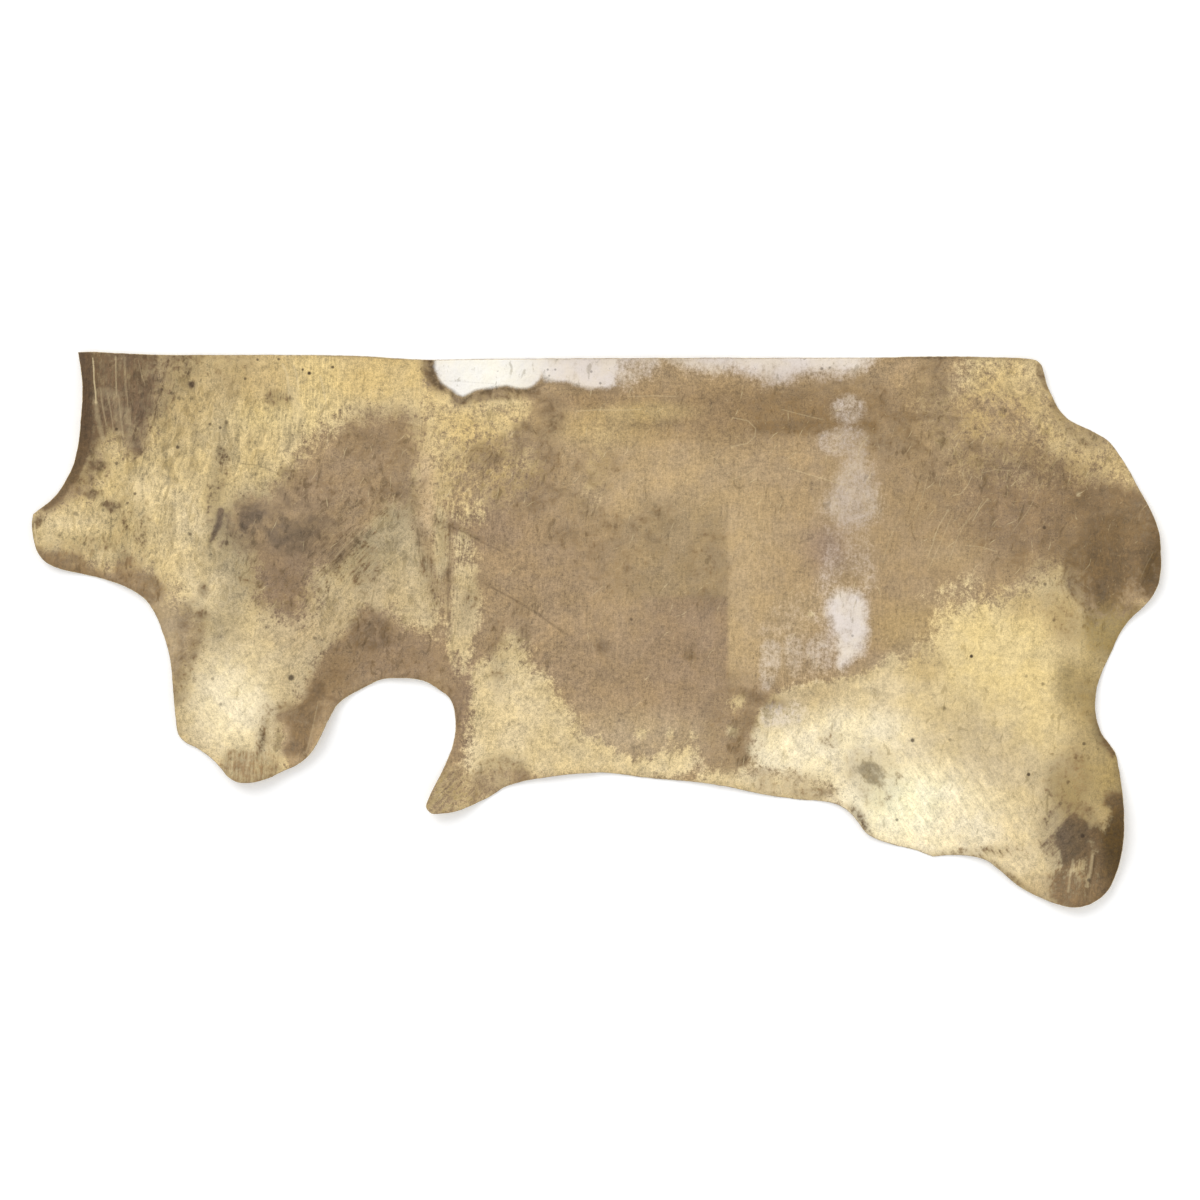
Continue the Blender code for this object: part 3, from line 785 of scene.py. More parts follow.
# Where fine marks are dense, from 0 to 1.
DENSITIES = {
    # density, along, down, half-length, half-width, turn
    "dashes": ((0.85, 290, 170, 150, 150, 0), (0.8, 450, 170, 130, 110, 0), (0.6, 180, 370, 170, 90, 0),
        (0.5, 600, 560, 120, 80, 0), (0.5, 200, 80, 110, 90, 0), (0.3, 880, 700, 60, 160, 0),
        (0.3, 520, 420, 110, 90, 0)),
    "freckles": ((0.3, 350, 150, 260, 170, 0), (0.14, 1150, 450, 400, 330, 0),
        (0.1, 1800, 780, 300, 260, 0)),
    "scratches": ((1, 1900, 250, 230, 160, 0), (0.8, 1560, 240, 250, 140, 0), (0.6, 1200, 160, 220, 90, 0),
        (0.7, 2120, 250, 120, 90, 0), (0.8, 900, 240, 140, 90, 0), (0.7, 830, 880, 60, 50, 0),
        (0.45, 1300, 420, 300, 260, 0), (0.6, 1350, 800, 150, 60, 0), (0.6, 640, 250, 150, 150, 30),
        (0.4, 1650, 520, 150, 130, 0), (0.4, 480, 480, 100, 90, 0), (0.5, 2150, 420, 90, 100, 0)),
    "streaks": ((0.9, 560, 60, 120, 90, 0), (0.8, 170, 80, 90, 100, 0), (0.4, 1000, 400, 300, 220, 0),
        (0.9, 830, 420, 70, 180, 0), (1, 430, 830, 90, 50, 0), (0.3, 1500, 400, 300, 250, 0),
        (0.7, 1530, 620, 110, 70, 0), (0.7, 2090, 1060, 70, 60, 0), (0.6, 540, 760, 50, 70, 0),
        (0.5, 2150, 420, 90, 100, 0)),
    "rising": ((1, 640, 400, 140, 100, 45), (0.7, 560, 560, 150, 110, 40), (0.6, 980, 600, 90, 90, 0),
        (0.6, 900, 240, 120, 70, 20), (0.6, 1180, 810, 140, 50, 0), (1, 840, 880, 90, 60, 0),
        (0.7, 2060, 1000, 60, 110, 0), (0.6, 620, 640, 60, 60, 0), (0.5, 1540, 790, 110, 70, 0)),
    "falling": ((0.8, 1850, 900, 200, 150, -30), (0.6, 400, 700, 100, 120, 0),
        (0.5, 1950, 150, 150, 110, 0), (0.5, 1600, 780, 140, 90, 0), (0.7, 1960, 980, 90, 70, -40)),
    "wrinkles": ((1, 270, 180, 180, 190, 0), (0.9, 440, 190, 120, 130, 0), (1, 200, 360, 190, 110, 0),
        (0.7, 390, 430, 80, 110, 0), (0.5, 540, 460, 110, 110, 0)),
    "grime": ((0.66, 300, 130, 160, 150, 0), (0.26, 450, 150, 140, 110, 0), (0.5, 180, 330, 200, 130, 0),
        (0.5, 400, 420, 80, 110, 0), (0.6, 720, 380, 110, 80, 0), (0.5, 640, 520, 130, 80, 0),
        (0.45, 960, 590, 70, 80, 0), (0.4, 640, 250, 150, 150, 30), (0.45, 900, 240, 140, 80, 0),
        (0.4, 500, 460, 90, 90, 0), (0.5, 1430, 760, 60, 110, 0), (0.3, 1900, 250, 220, 130, 0),
        (0.3, 2010, 900, 50, 90, 0), (0.45, 720, 600, 130, 60, 0), (0.6, 630, 450, 80, 60, 0),
        (0.4, 1500, 866, 90, 24, 0)),
    "calm": ((0.4, 1350, 420, 300, 260, 0), (0.6, 1880, 780, 330, 260, 0), (0.5, 400, 690, 100, 110, 0),
        (0.5, 1760, 380, 130, 200, 0), (1, 1635, 300, 80, 200, 0), (1, 105, 90, 14, 130, 0),
        (0.9, 255, 560, 34, 120, 0), (0.4, 1720, 520, 120, 120, 0), (0.4, 1530, 800, 140, 60, 0)),
}

# Small dark dots: along, down, radius, darkness.
DOTS = (
    (540, 38, 3.0, 0.8), (553, 45, 4.0, 0.95), (450, 18, 3.0, 0.7), (492, 17, 3.0, 0.7),
    (425, 56, 3.5, 0.7), (600, 33, 3.5, 0.8), (388, 143, 4.5, 0.6), (375, 154, 3.5, 0.7),
    (355, 147, 3.5, 0.6), (290, 193, 4.0, 0.8), (205, 286, 3.5, 0.7), (190, 305, 3.5, 0.6),
    (315, 367, 4.0, 0.7), (168, 157, 3.5, 0.7), (513, 255, 3.5, 0.5), (278, 85, 4.0, 0.5),
    (293, 95, 4.5, 0.5), (318, 95, 4.5, 0.5), (255, 60, 4.0, 0.4), (318, 67, 7.0, 0.5),
    (517, 654, 7.0, 0.8), (1877, 611, 4.0, 0.95), (1759, 779, 4.5, 0.8), (1728, 938, 3.5, 0.6),
    (1823, 716, 4.0, 0.4), (1834, 778, 4.0, 0.4), (2042, 539, 3.5, 0.5), (2102, 786, 4.0, 0.6),
    (2024, 467, 4.0, 0.6), (2020, 666, 4.0, 0.5), (1987, 651, 3.5, 0.4), (1991, 847, 4.0, 0.85),
    (2099, 970, 5.0, 0.8), (2111, 1058, 4.0, 0.7), (1639, 570, 3.0, 0.4), (2022, 354, 4.0, 0.7),
    (1945, 120, 4.0, 0.5), (1885, 155, 4.0, 0.5), (1030, 38, 2.5, 0.5), (1045, 38, 2.5, 0.5),
    (1033, 50, 2.5, 0.5), (1117, 42, 3.0, 0.5), (1135, 65, 3.0, 0.5), (1578, 36, 3.5, 0.5),
    (1594, 34, 3.0, 0.5), (1543, 16, 3.0, 0.5), (1197, 537, 4.0, 0.5), (953, 747, 4.0, 0.4),
    (1173, 740, 3.5, 0.4), (1165, 350, 6.0, 0.25), (730, 285, 5.0, 0.35), (640, 284, 4.0, 0.3),
    (565, 575, 4.0, 0.5), (2070, 862, 4.0, 0.4), (2055, 905, 4.0, 0.4), (168, 225, 4.0, 0.6),
    (196, 432, 3.5, 0.4), (376, 706, 3.5, 0.4), (360, 656, 3.5, 0.4), (388, 385, 5.0, 0.45),
    (104, 386, 5.0, 0.4), (86, 326, 5.0, 0.45), (520, 96, 3.0, 0.3), (1215, 352, 4.0, 0.3),
    (1245, 310, 5.0, 0.25),
)

# Lines: half-width, strength, which is negative for a pale line, and points.
LINES = (
    # The neck edge streaks and the second neck streak are painted highlights along the neck's ridges, and
    # the neck shade is painted shade beside them.
    ("neck edge streak", 1.3, -0.9, ((121, 16), (123, 36), (124, 60), (127, 84), (128, 104))),
    ("neck edge streak, low", 4.0, -0.3, ((127, 104), (131, 130), (136, 160), (142, 176))),
    ("second neck streak", 1.5, -0.4, ((167, 12), (167, 60), (168, 92))),
    ("neck shade", 3.5, 0.35, ((119, 14), (120, 60), (122, 100))),
    ("neck light 1", 8.0, -0.16, ((134, 84), (150, 82), (166, 88), (172, 120), (174, 160))),
    ("neck light 2", 2.0, -0.16, ((184, 18), (186, 50), (186, 90))),
    ("neck light 3", 6.0, -0.14, ((190, 120), (192, 150), (196, 190))),
    ("flap light", 1.6, -0.7, ((6, 346), (8, 366), (12, 388))),
    ("flap light 2", 6.0, -0.25, ((28, 378), (40, 372), (52, 382), (48, 396))),
    ("patch rim", 6.0, 0.62, ((800, 16), (798, 40), (806, 62), (820, 74), (836, 82), (848, 92), (860, 98),
     (874, 91), (888, 84), (905, 81), (930, 76), (950, 75), (968, 80), (988, 80), (1003, 76), (1016, 66),
     (1028, 59))),
    ("patch rim, dark", 4.0, 0.6, ((838, 84), (850, 94), (860, 99), (872, 93), (886, 86), (905, 82),
     (930, 78), (950, 76), (968, 80))),
    ("patch rim, right", 6.0, 0.3, ((1028, 62), (1050, 66), (1072, 67), (1086, 77), (1120, 80), (1166, 79),
     (1176, 62))),
    ("neck dash", 3.0, 0.5, ((306, 20), (310, 40), (314, 60))),
    ("neck dash 2", 4.0, 0.5, ((326, 148), (322, 164), (318, 178))),
    ("neck dash 3", 4.0, 0.5, ((378, 168), (374, 184), (370, 200))),
    ("neck dash 4", 3.5, 0.5, ((437, 148), (435, 164), (432, 182))),
    ("neck dash 5", 3.0, 0.4, ((466, 156), (462, 172), (459, 188))),
    ("neck dash 6", 3.0, 0.6, ((515, 150), (515, 178), (512, 196))),
    ("neck dash 7", 3.0, 0.5, ((536, 138), (534, 152), (532, 168))),
    ("neck dash 8", 3.0, 0.4, ((310, 110), (307, 130), (304, 150))),
    ("neck dash 9", 3.0, 0.34, ((190, 350), (188, 366), (184, 384), (184, 410))),
    ("neck dash 10", 3.0, 0.34, ((222, 362), (223, 380), (220, 400))),
    ("neck dash 11", 4.0, 0.45, ((286, 350), (280, 372), (276, 396))),
    ("neck dash 12", 4.5, 0.5, ((385, 150), (380, 176), (374, 206))),
    ("neck dash 13", 3.0, 0.45, ((204, 212), (206, 232), (204, 256))),
    ("neck stroke 1", 7.0, 0.24, ((264, 150), (262, 190), (258, 230))),
    ("neck stroke 2", 7.0, 0.24, ((300, 160), (296, 190), (290, 220))),
    ("neck stroke 3", 7.0, 0.22, ((330, 170), (322, 210), (316, 250))),
    ("neck stroke 4", 8.0, 0.26, ((372, 240), (366, 270), (360, 300))),
    ("neck stroke 5", 6.0, 0.24, ((274, 300), (278, 340), (272, 380))),
    ("neck stroke 6", 6.0, 0.2, ((345, 400), (342, 430), (340, 470))),
    ("neck stroke 7", 6.0, 0.2, ((400, 150), (398, 180), (388, 220))),
    ("neck pale 1", 1.6, -0.3, ((136, 76), (140, 110), (148, 150))),
    ("neck pale 2", 1.4, -0.26, ((150, 84), (156, 120), (162, 160))),
    ("neck pale 3", 1.6, -0.3, ((172, 90), (176, 130), (182, 176))),
    ("neck pale 4", 1.2, -0.24, ((186, 60), (190, 100), (192, 140))),
    ("neck pale 5", 1.2, -0.2, ((212, 20), (218, 50), (226, 70))),
    ("neck crack", 1.6, 0.5, ((420, 226), (440, 228), (466, 234), (490, 245))),
    ("smudge streak", 4.0, 0.5, ((372, 352), (364, 366), (356, 380), (353, 394))),
    ("yellow light 1", 2.5, -0.45, ((500, 28), (508, 44), (511, 66), (513, 86))),
    ("yellow light 2", 2.0, -0.42, ((522, 30), (528, 50), (532, 76))),
    ("yellow light 3", 2.0, -0.4, ((575, 50), (582, 80), (588, 110))),
    ("yellow light 4", 8.0, -0.25, ((520, 80), (528, 110), (530, 140))),
    # The shoulder line is a painted highlight along a ridge at the shoulder's edge, and the shoulder shade
    # is painted shade below it.
    ("shoulder line", 1.6, -0.2, ((676, 346), (650, 368), (620, 396), (606, 412))),
    ("shoulder shade", 6.0, 0.42, ((676, 362), (650, 384), (620, 410), (600, 436))),
    ("shoulder mark 1", 1.8, 0.55, ((538, 462), (541, 466), (545, 476))),
    ("shoulder mark 2", 1.8, 0.6, ((534, 489), (550, 499), (546, 505), (541, 516))),
    ("shoulder mark 3", 2.0, 0.55, ((598, 455), (592, 474), (590, 494), (582, 501))),
    ("shoulder mark 4", 1.8, 0.5, ((610, 440), (616, 445), (621, 451))),
    ("shoulder mark 5", 2.4, 0.4, ((575, 395), (580, 410), (574, 426))),
    ("chest vein", 2.0, 0.45, ((836, 352), (870, 366), (904, 386), (940, 402))),
    ("chest crease", 2.6, 0.34, ((834, 350), (835, 380), (833, 420), (832, 470))),
    ("chest crease, low", 3.5, 0.35, ((834, 470), (830, 520), (838, 570), (842, 610))),
    ("flank vein", 2.4, 0.6, ((905, 466), (960, 496), (1010, 526), (1048, 554), (1076, 572))),
    # The two fold lights are painted highlights along the fore shank's fold.
    ("fore shank fold light", 1.2, -0.2, ((571, 704), (562, 745), (552, 790), (546, 806))),
    ("fore shank fold light 2", 1.5, -0.3, ((591, 742), (572, 776), (551, 810))),
    ("fore shank rim", 3.0, 0.3, ((566, 690), (560, 700), (548, 708), (530, 718), (512, 722))),
    ("fore shank streak", 4.0, 0.45, ((455, 758), (460, 776), (458, 795), (450, 812))),
    ("fore shank light 1", 4.0, -0.35, ((440, 775), (436, 800), (430, 826))),
    ("fore shank light 2", 3.0, -0.3, ((402, 806), (398, 830), (392, 850))),
    ("fore shank line", 1.6, 0.25, ((440, 668), (480, 668), (515, 662))),
    ("back cut shade, tail", 2.5, 0.55, ((1724, 14), (1800, 14), (1860, 14), (1940, 16), (1992, 19))),
    ("back cut shade, shoulder", 2.2, 0.6, ((570, 10), (610, 11), (654, 12), (700, 14), (760, 17))),
    ("back cut shade, middle", 2.0, 0.3, ((1030, 18), (1200, 17), (1340, 16), (1500, 16))),
    ("belly edge", 2.0, -0.5, ((985, 862), (1034, 853), (1100, 846), (1180, 850))),
    ("belly edge, rear", 2.2, -0.5, ((1290, 860), (1340, 864), (1400, 873))),
    ("tail nick", 2.0, -0.5, ((2026, 88), (2032, 88))),
    ("pale dot", 3.0, -0.5, ((2089, 288), (2093, 288))),
    ("hook scratch", 1.0, -0.34, ((1400, 134), (1430, 140), (1446, 156), (1444, 172), (1430, 185),
     (1398, 192))),
    ("long scratch 1", 0.9, -0.26, ((1790, 440), (1812, 392), (1838, 330))),
    ("long scratch 2", 0.9, -0.24, ((1832, 420), (1850, 372), (1880, 316))),
    ("long scratch 3", 0.9, -0.22, ((1850, 360), (1880, 330), (1900, 300))),
    ("long scratch 4", 0.9, -0.22, ((1760, 330), (1780, 290), (1790, 250))),
    ("long scratch 5", 0.9, -0.22, ((1838, 214), (1850, 180), (1866, 150))),
    ("long scratch 6", 0.9, -0.2, ((1960, 360), (1990, 320), (2020, 260))),
    ("long scratch 7", 0.9, -0.22, ((1700, 420), (1712, 380), (1730, 340))),
    ("long scratch 8", 0.9, -0.2, ((2040, 230), (2060, 200), (2072, 180))),
    ("scratch 1", 1.0, -0.35, ((1510, 235), (1560, 250), (1620, 268))),
    ("scratch 2", 1.0, -0.3, ((1400, 258), (1428, 246), (1450, 232))),
    ("scratch 3", 1.0, -0.35, ((1800, 380), (1812, 350), (1830, 320))),
    ("scratch 4", 1.0, -0.35, ((1880, 340), (1892, 318), (1908, 298))),
    ("scratch 5", 1.0, -0.35, ((1840, 290), (1856, 286), (1870, 268), (1878, 250))),
    ("scratch 6", 1.0, -0.2, ((1900, 244), (1924, 238), (1956, 240))),
    ("scratch 7", 1.0, -0.3, ((1870, 390), (1896, 392), (1930, 402))),
    ("scratch 8", 1.0, -0.3, ((1790, 412), (1800, 386), (1808, 360))),
    ("scratch 9", 1.0, -0.3, ((1650, 210), (1656, 188), (1670, 174))),
    ("scratch 10", 1.0, -0.25, ((1500, 118), (1530, 126), (1580, 138))),
    ("back scratch 1", 1.2, -0.3, ((1090, 121), (1130, 118), (1180, 119), (1220, 117))),
    ("back scratch 2", 1.2, -0.25, ((1190, 92), (1240, 90), (1290, 92))),
    # The dark crease lines at the hind shank tip and the rump are painted shade in their creases, and the
    # pale lines beside them are painted highlights.
    ("shank tip crease", 2.5, 0.5, ((2125, 1000), (2122, 1030), (2115, 1060), (2105, 1100))),
    ("shank tip crease 2", 2.2, 0.4, ((2098, 1040), (2104, 1066), (2108, 1090))),
    ("shank tip light", 3.0, -0.35, ((2118, 1010), (2114, 1040), (2106, 1070))),
    ("shank tip light 2", 2.5, -0.35, ((2080, 1020), (2074, 1050), (2070, 1080))),
    ("rump crease", 2.0, 0.45, ((2245, 408), (2232, 436), (2216, 470), (2206, 490))),
    ("rump crease light", 1.0, -0.12, ((2238, 404), (2226, 428), (2214, 456))),
    ("flank edge", 3.0, 0.5, ((1640, 920), (1652, 934), (1664, 950), (1676, 962))),
    ("flank light", 3.0, -0.4, ((1600, 880), (1612, 900), (1632, 915))),
    ("hind fold", 4.0, 0.25, ((1640, 680), (1680, 684), (1720, 688))),
    ("hind mark 1", 2.0, 0.3, ((1640, 772), (1655, 776), (1664, 774))),
    ("hind mark 2", 2.0, 0.3, ((1806, 716), (1822, 712), (1836, 720))),
    ("patch line", 1.2, 0.2, ((820, 60), (860, 62), (890, 64), (925, 66))),
)


def soft_box(points, left, top, right, bottom):
    """1 inside a box and 0 outside it, with each side as a place and a softness."""
    along, down = points[:, 0], points[:, 1]
    weight = 1.0
    for value, (place, softness) in ((along, left), (down, top), (-along, (-right[0], right[1])),
                                     (-down, (-bottom[0], bottom[1]))):
        weight = weight * ease(0.5 + 0.5 * (value - place) / softness)
    return weight


def soft_rows(rows, points):
    """The rows of soft patches, each with its weight at the points."""
    for first, *row in rows:
        u, v = in_ellipse(points, *row[-5:])
        yield first, row[:-5], np.exp(-((u * u + v * v) ** 1.5))


def rounded(outline):
    """A closed outline with its corners cut twice."""
    line = np.array(outline, float)
    for _ in range(2):
        ahead = np.roll(line, -1, axis=0)
        line = np.stack([line * 0.75 + ahead * 0.25, line * 0.25 + ahead * 0.75], axis=1).reshape(-1, 2)
    return line


def cover_of(points, layer):
    """How far a layer covers each point: 0.5 is its rim, and noise in the material roughens that."""
    cover = np.full(len(points), NO_COVER)
    for _, level, softness, outline in AREAS[layer]:
        line = rounded(outline)
        reach = (1 - 2 * NO_COVER) * softness
        near = np.all((points > line.min(axis=0) - reach) & (points < line.max(axis=0) + reach), axis=1)
        away = distance_to_line(points[near], line, closed=True)
        depth = np.where(inside(points[near], line), away, -away)
        if level > 0:
            cover[near] = np.maximum(cover[near], np.minimum(0.5 + 0.5 * depth / softness, level))
        else:
            cover[near] = np.minimum(cover[near], 0.5 - 0.5 * depth / softness)
    for level, softness, along, down, half_length, half_width, turn in SPOTS[layer]:
        u, v = in_ellipse(points, along, down, half_length, half_width, turn)
        depth = (1 - np.hypot(u, v)) * min(half_length, half_width)
        cover = np.maximum(cover, np.minimum(0.5 + 0.5 * depth / softness, level))
    return cover


def paint(name):
    """A colour for a surface that looks like the named one in this scene's light."""
    shown = np.array(PALETTE[name]) / 255
    linear = np.where(shown <= 0.04045, shown / 12.92, ((shown + 0.055) / 1.055) ** 2.4)
    return np.clip(linear - SHINE, DARKEST, LIGHTEST)


def tint_of(points, layer):
    """The colour of a layer at each point."""
    colour = np.ones((len(points), 3)) * paint(BASES[layer])
    for name, (strength,), weight in soft_rows(TINTS[layer], points):
        share = (strength * weight)[:, None]
        colour = colour * (1 - share) + paint(name) * share
    for name, strength, *sides in PANELS if layer == "ground" else ():
        share = (strength * soft_box(points, *sides))[:, None]
        colour = colour * (1 - share) + paint(name) * share
    return colour


def density_of(points, mark):
    """How dense a kind of fine mark is at each point."""
    density = np.zeros(len(points))
    for strength, _, weight in soft_rows(DENSITIES[mark], points):
        density = np.maximum(density, strength * weight)
    return density


def drawn_marks(points):
    """The strength of the dots, and of the listed dark and pale lines, at each point."""
    dots, dark, pale = np.zeros((3, len(points)))
    for along, down, radius, darkness in DOTS:
        away = np.hypot(points[:, 0] - along, points[:, 1] - down)
        dots = np.maximum(dots, darkness * ease((DOT_RIM - away / radius) / (DOT_RIM - DOT_CORE)))
    for _, half_width, strength, line in LINES:
        away = distance_to_line(points, np.array(line, float))
        mark = abs(strength) * ease(LINE_RIM - away / half_width)
        if strength > 0:
            dark = np.maximum(dark, mark)
        else:
            pale = np.maximum(pale, mark)
    return dots, dark, pale


def detail_points():
    """Extra points of the grain side on the dots, the lines and the folds."""
    extra = []
    ring = np.linspace(0, 2 * math.pi, 8, endpoint=False)
    for along, down, radius, _ in DOTS:
        extra.append([(along, down)])
        for size in (DOT_CORE, DOT_RIM):
            reach = size * radius
            extra.append(np.stack([along + reach * np.cos(ring), down + reach * np.sin(ring)], axis=1))
    for _, half_width, _, line in LINES + FOLDS:
        line = np.array(line, float)
        middle = evenly(line, LINE_STEP)
        run = np.gradient(middle, axis=0) if len(middle) > 2 else np.ones_like(middle)
        run /= np.linalg.norm(run, axis=1)[:, None]
        side = run[:, ::-1] * (-1, 1) * half_width * LINE_RIM
        extra += [middle, middle + side, middle - side]
    return np.concatenate([np.array(part, float).reshape(-1, 2) for part in extra])


def thinned(points, gap, kept=()):
    """The points, without those closer than gap to an earlier one or to a kept one."""
    tree = kdtree.KDTree(len(points) + len(kept))
    for number, (x, y) in enumerate(list(kept) + list(points)):
        tree.insert((x, y, 0), number)
    tree.balance()
    first = len(kept)
    keep = np.ones(len(points), bool)
    for number, (x, y) in enumerate(points):
        for _, other, _ in tree.find_range((x, y, 0), gap):
            if other < first or (other < first + number and keep[other - first]):
                keep[number] = False
                break
    return points[keep]


def triangle_grid(pitch):
    """A triangular grid of points over the whole hide."""
    row_gap = pitch * math.sqrt(3) / 2
    rows, columns = int(HIDE_WIDTH / row_gap) + 2, int(HIDE_LENGTH / pitch) + 2
    row, column = (a.ravel() for a in np.mgrid[0:rows, 0:columns])
    return np.stack([(column + row % 2 / 2 - 0.25) * pitch, (row + 0.5) * row_gap], axis=1)


def filled(loop, inner):
    """The triangles over a loop and the points inside it, facing up, as indices into both."""
    points = [Vector((x, -y)) for x, y in np.concatenate([loop, inner])]
    edges = [(i, (i + 1) % len(loop)) for i in range(len(loop))]
    outline = [tuple(reversed(range(len(loop))))]
    _, _, faces, source, *_ = geometry.delaunay_2d_cdt(points, edges, outline, 1, 1e-6)
    first = [ids[0] for ids in source]
    return np.array([[first[i] for i in face] for face in faces])


# The cut edge's section from the grain side down: inset, and height as a share of the thickness.
EDGE_SECTION = ((1.0, 1.0), (0.25, 0.86), (0.0, 0.5), (0.2, 0.14), (0.9, 0.0))


def hide_mesh():
    """The hide as one closed sheet, with the flat place of each point and its distance from the cut edge."""
    loop = cut_edge(RIM_STEP)
    run = np.roll(loop, -1, axis=0) - np.roll(loop, 1, axis=0)
    inward = run[:, ::-1] * (-1, 1) / np.linalg.norm(run, axis=1)[:, None]
    loop = loop + inward * (0.7 * value_noise(loop, 14, 3) + 0.5 * value_noise(loop, 6, 4))[:, None]
    rings = [loop + inward * inset for inset, _ in EDGE_SECTION]
    coarse_loop = cut_edge(COARSE_STEP)

    def inner(points, margin):
        away = distance_to_line(points, coarse_loop, closed=True)
        return points[inside(points, coarse_loop) & (away > margin)]

    detail = thinned(inner(detail_points(), MARK_MARGIN), MARK_GAP)
    grid = thinned(inner(triangle_grid(GRAIN_PITCH), GRAIN_MARGIN), DETAIL_GAP, detail)
    grain = np.concatenate([rings[0], detail, grid])
    flesh = np.concatenate([rings[-1], inner(triangle_grid(FLESH_PITCH), FLESH_MARGIN)])
    flat = np.concatenate([grain, *rings[1:-1], flesh])

    count = len(loop)
    starts = [0] + [len(grain) + count * k for k in range(len(rings) - 1)]
    here = np.arange(count)
    ahead = (here + 1) % count
    faces = [filled(rings[0], grain[count:])]
    for upper, lower in zip(starts, starts[1:]):
        faces.append(np.stack([upper + here, lower + ahead, lower + here], axis=1))
        faces.append(np.stack([upper + here, upper + ahead, lower + ahead], axis=1))
    faces.append(filled(rings[-1], flesh[count:])[:, ::-1] + starts[-1])
    side_of_faces = [GRAIN] + [EDGE] * (len(faces) - 2) + [FLESH]
    sides = np.concatenate([np.full(len(part), side) for part, side in zip(faces, side_of_faces)])

    share = np.ones(len(flat))
    for start, (_, height) in list(zip(starts, EDGE_SECTION))[1:-1]:
        share[start:start + count] = height
    share[starts[-1]:] = 0
    depth = distance_to_line(flat, coarse_loop, closed=True)
    relief = folds_of(flat) + 0.35 * value_noise(flat, 26, 11) + 0.25 * value_noise(flat, 13, 12)
    height = lie_of(flat, depth) + wrinkles_of(flat) + share * (THICKNESS + relief)
    middle = (coarse_loop.min(axis=0) + coarse_loop.max(axis=0)) / 2
    vertices = np.column_stack([(flat - middle) * (1, -1), np.maximum(height, 0)]) * MM
    mesh = bpy.data.meshes.new("hide_leather")
    mesh.from_pydata(vertices.tolist(), [], np.concatenate(faces).tolist())
    mesh.polygons.foreach_set("material_index", sides)
    mesh.polygons.foreach_set("use_smooth", np.ones(len(mesh.polygons), bool))
    mesh.update()
    return mesh, flat, depth


def keep_values(mesh, name, values):
    """Stores one number for each point of the mesh."""
    mesh.attributes.new(name, "FLOAT", "POINT").data.foreach_set("value", values.astype(np.float32))


def keep_colours(mesh, name, colours):
    """Stores one colour for each point of the mesh."""
    solid = np.column_stack([colours, np.ones(len(colours))]).astype(np.float32)
    mesh.color_attributes.new(name, "FLOAT_COLOR", "POINT").data.foreach_set("color", solid.ravel())


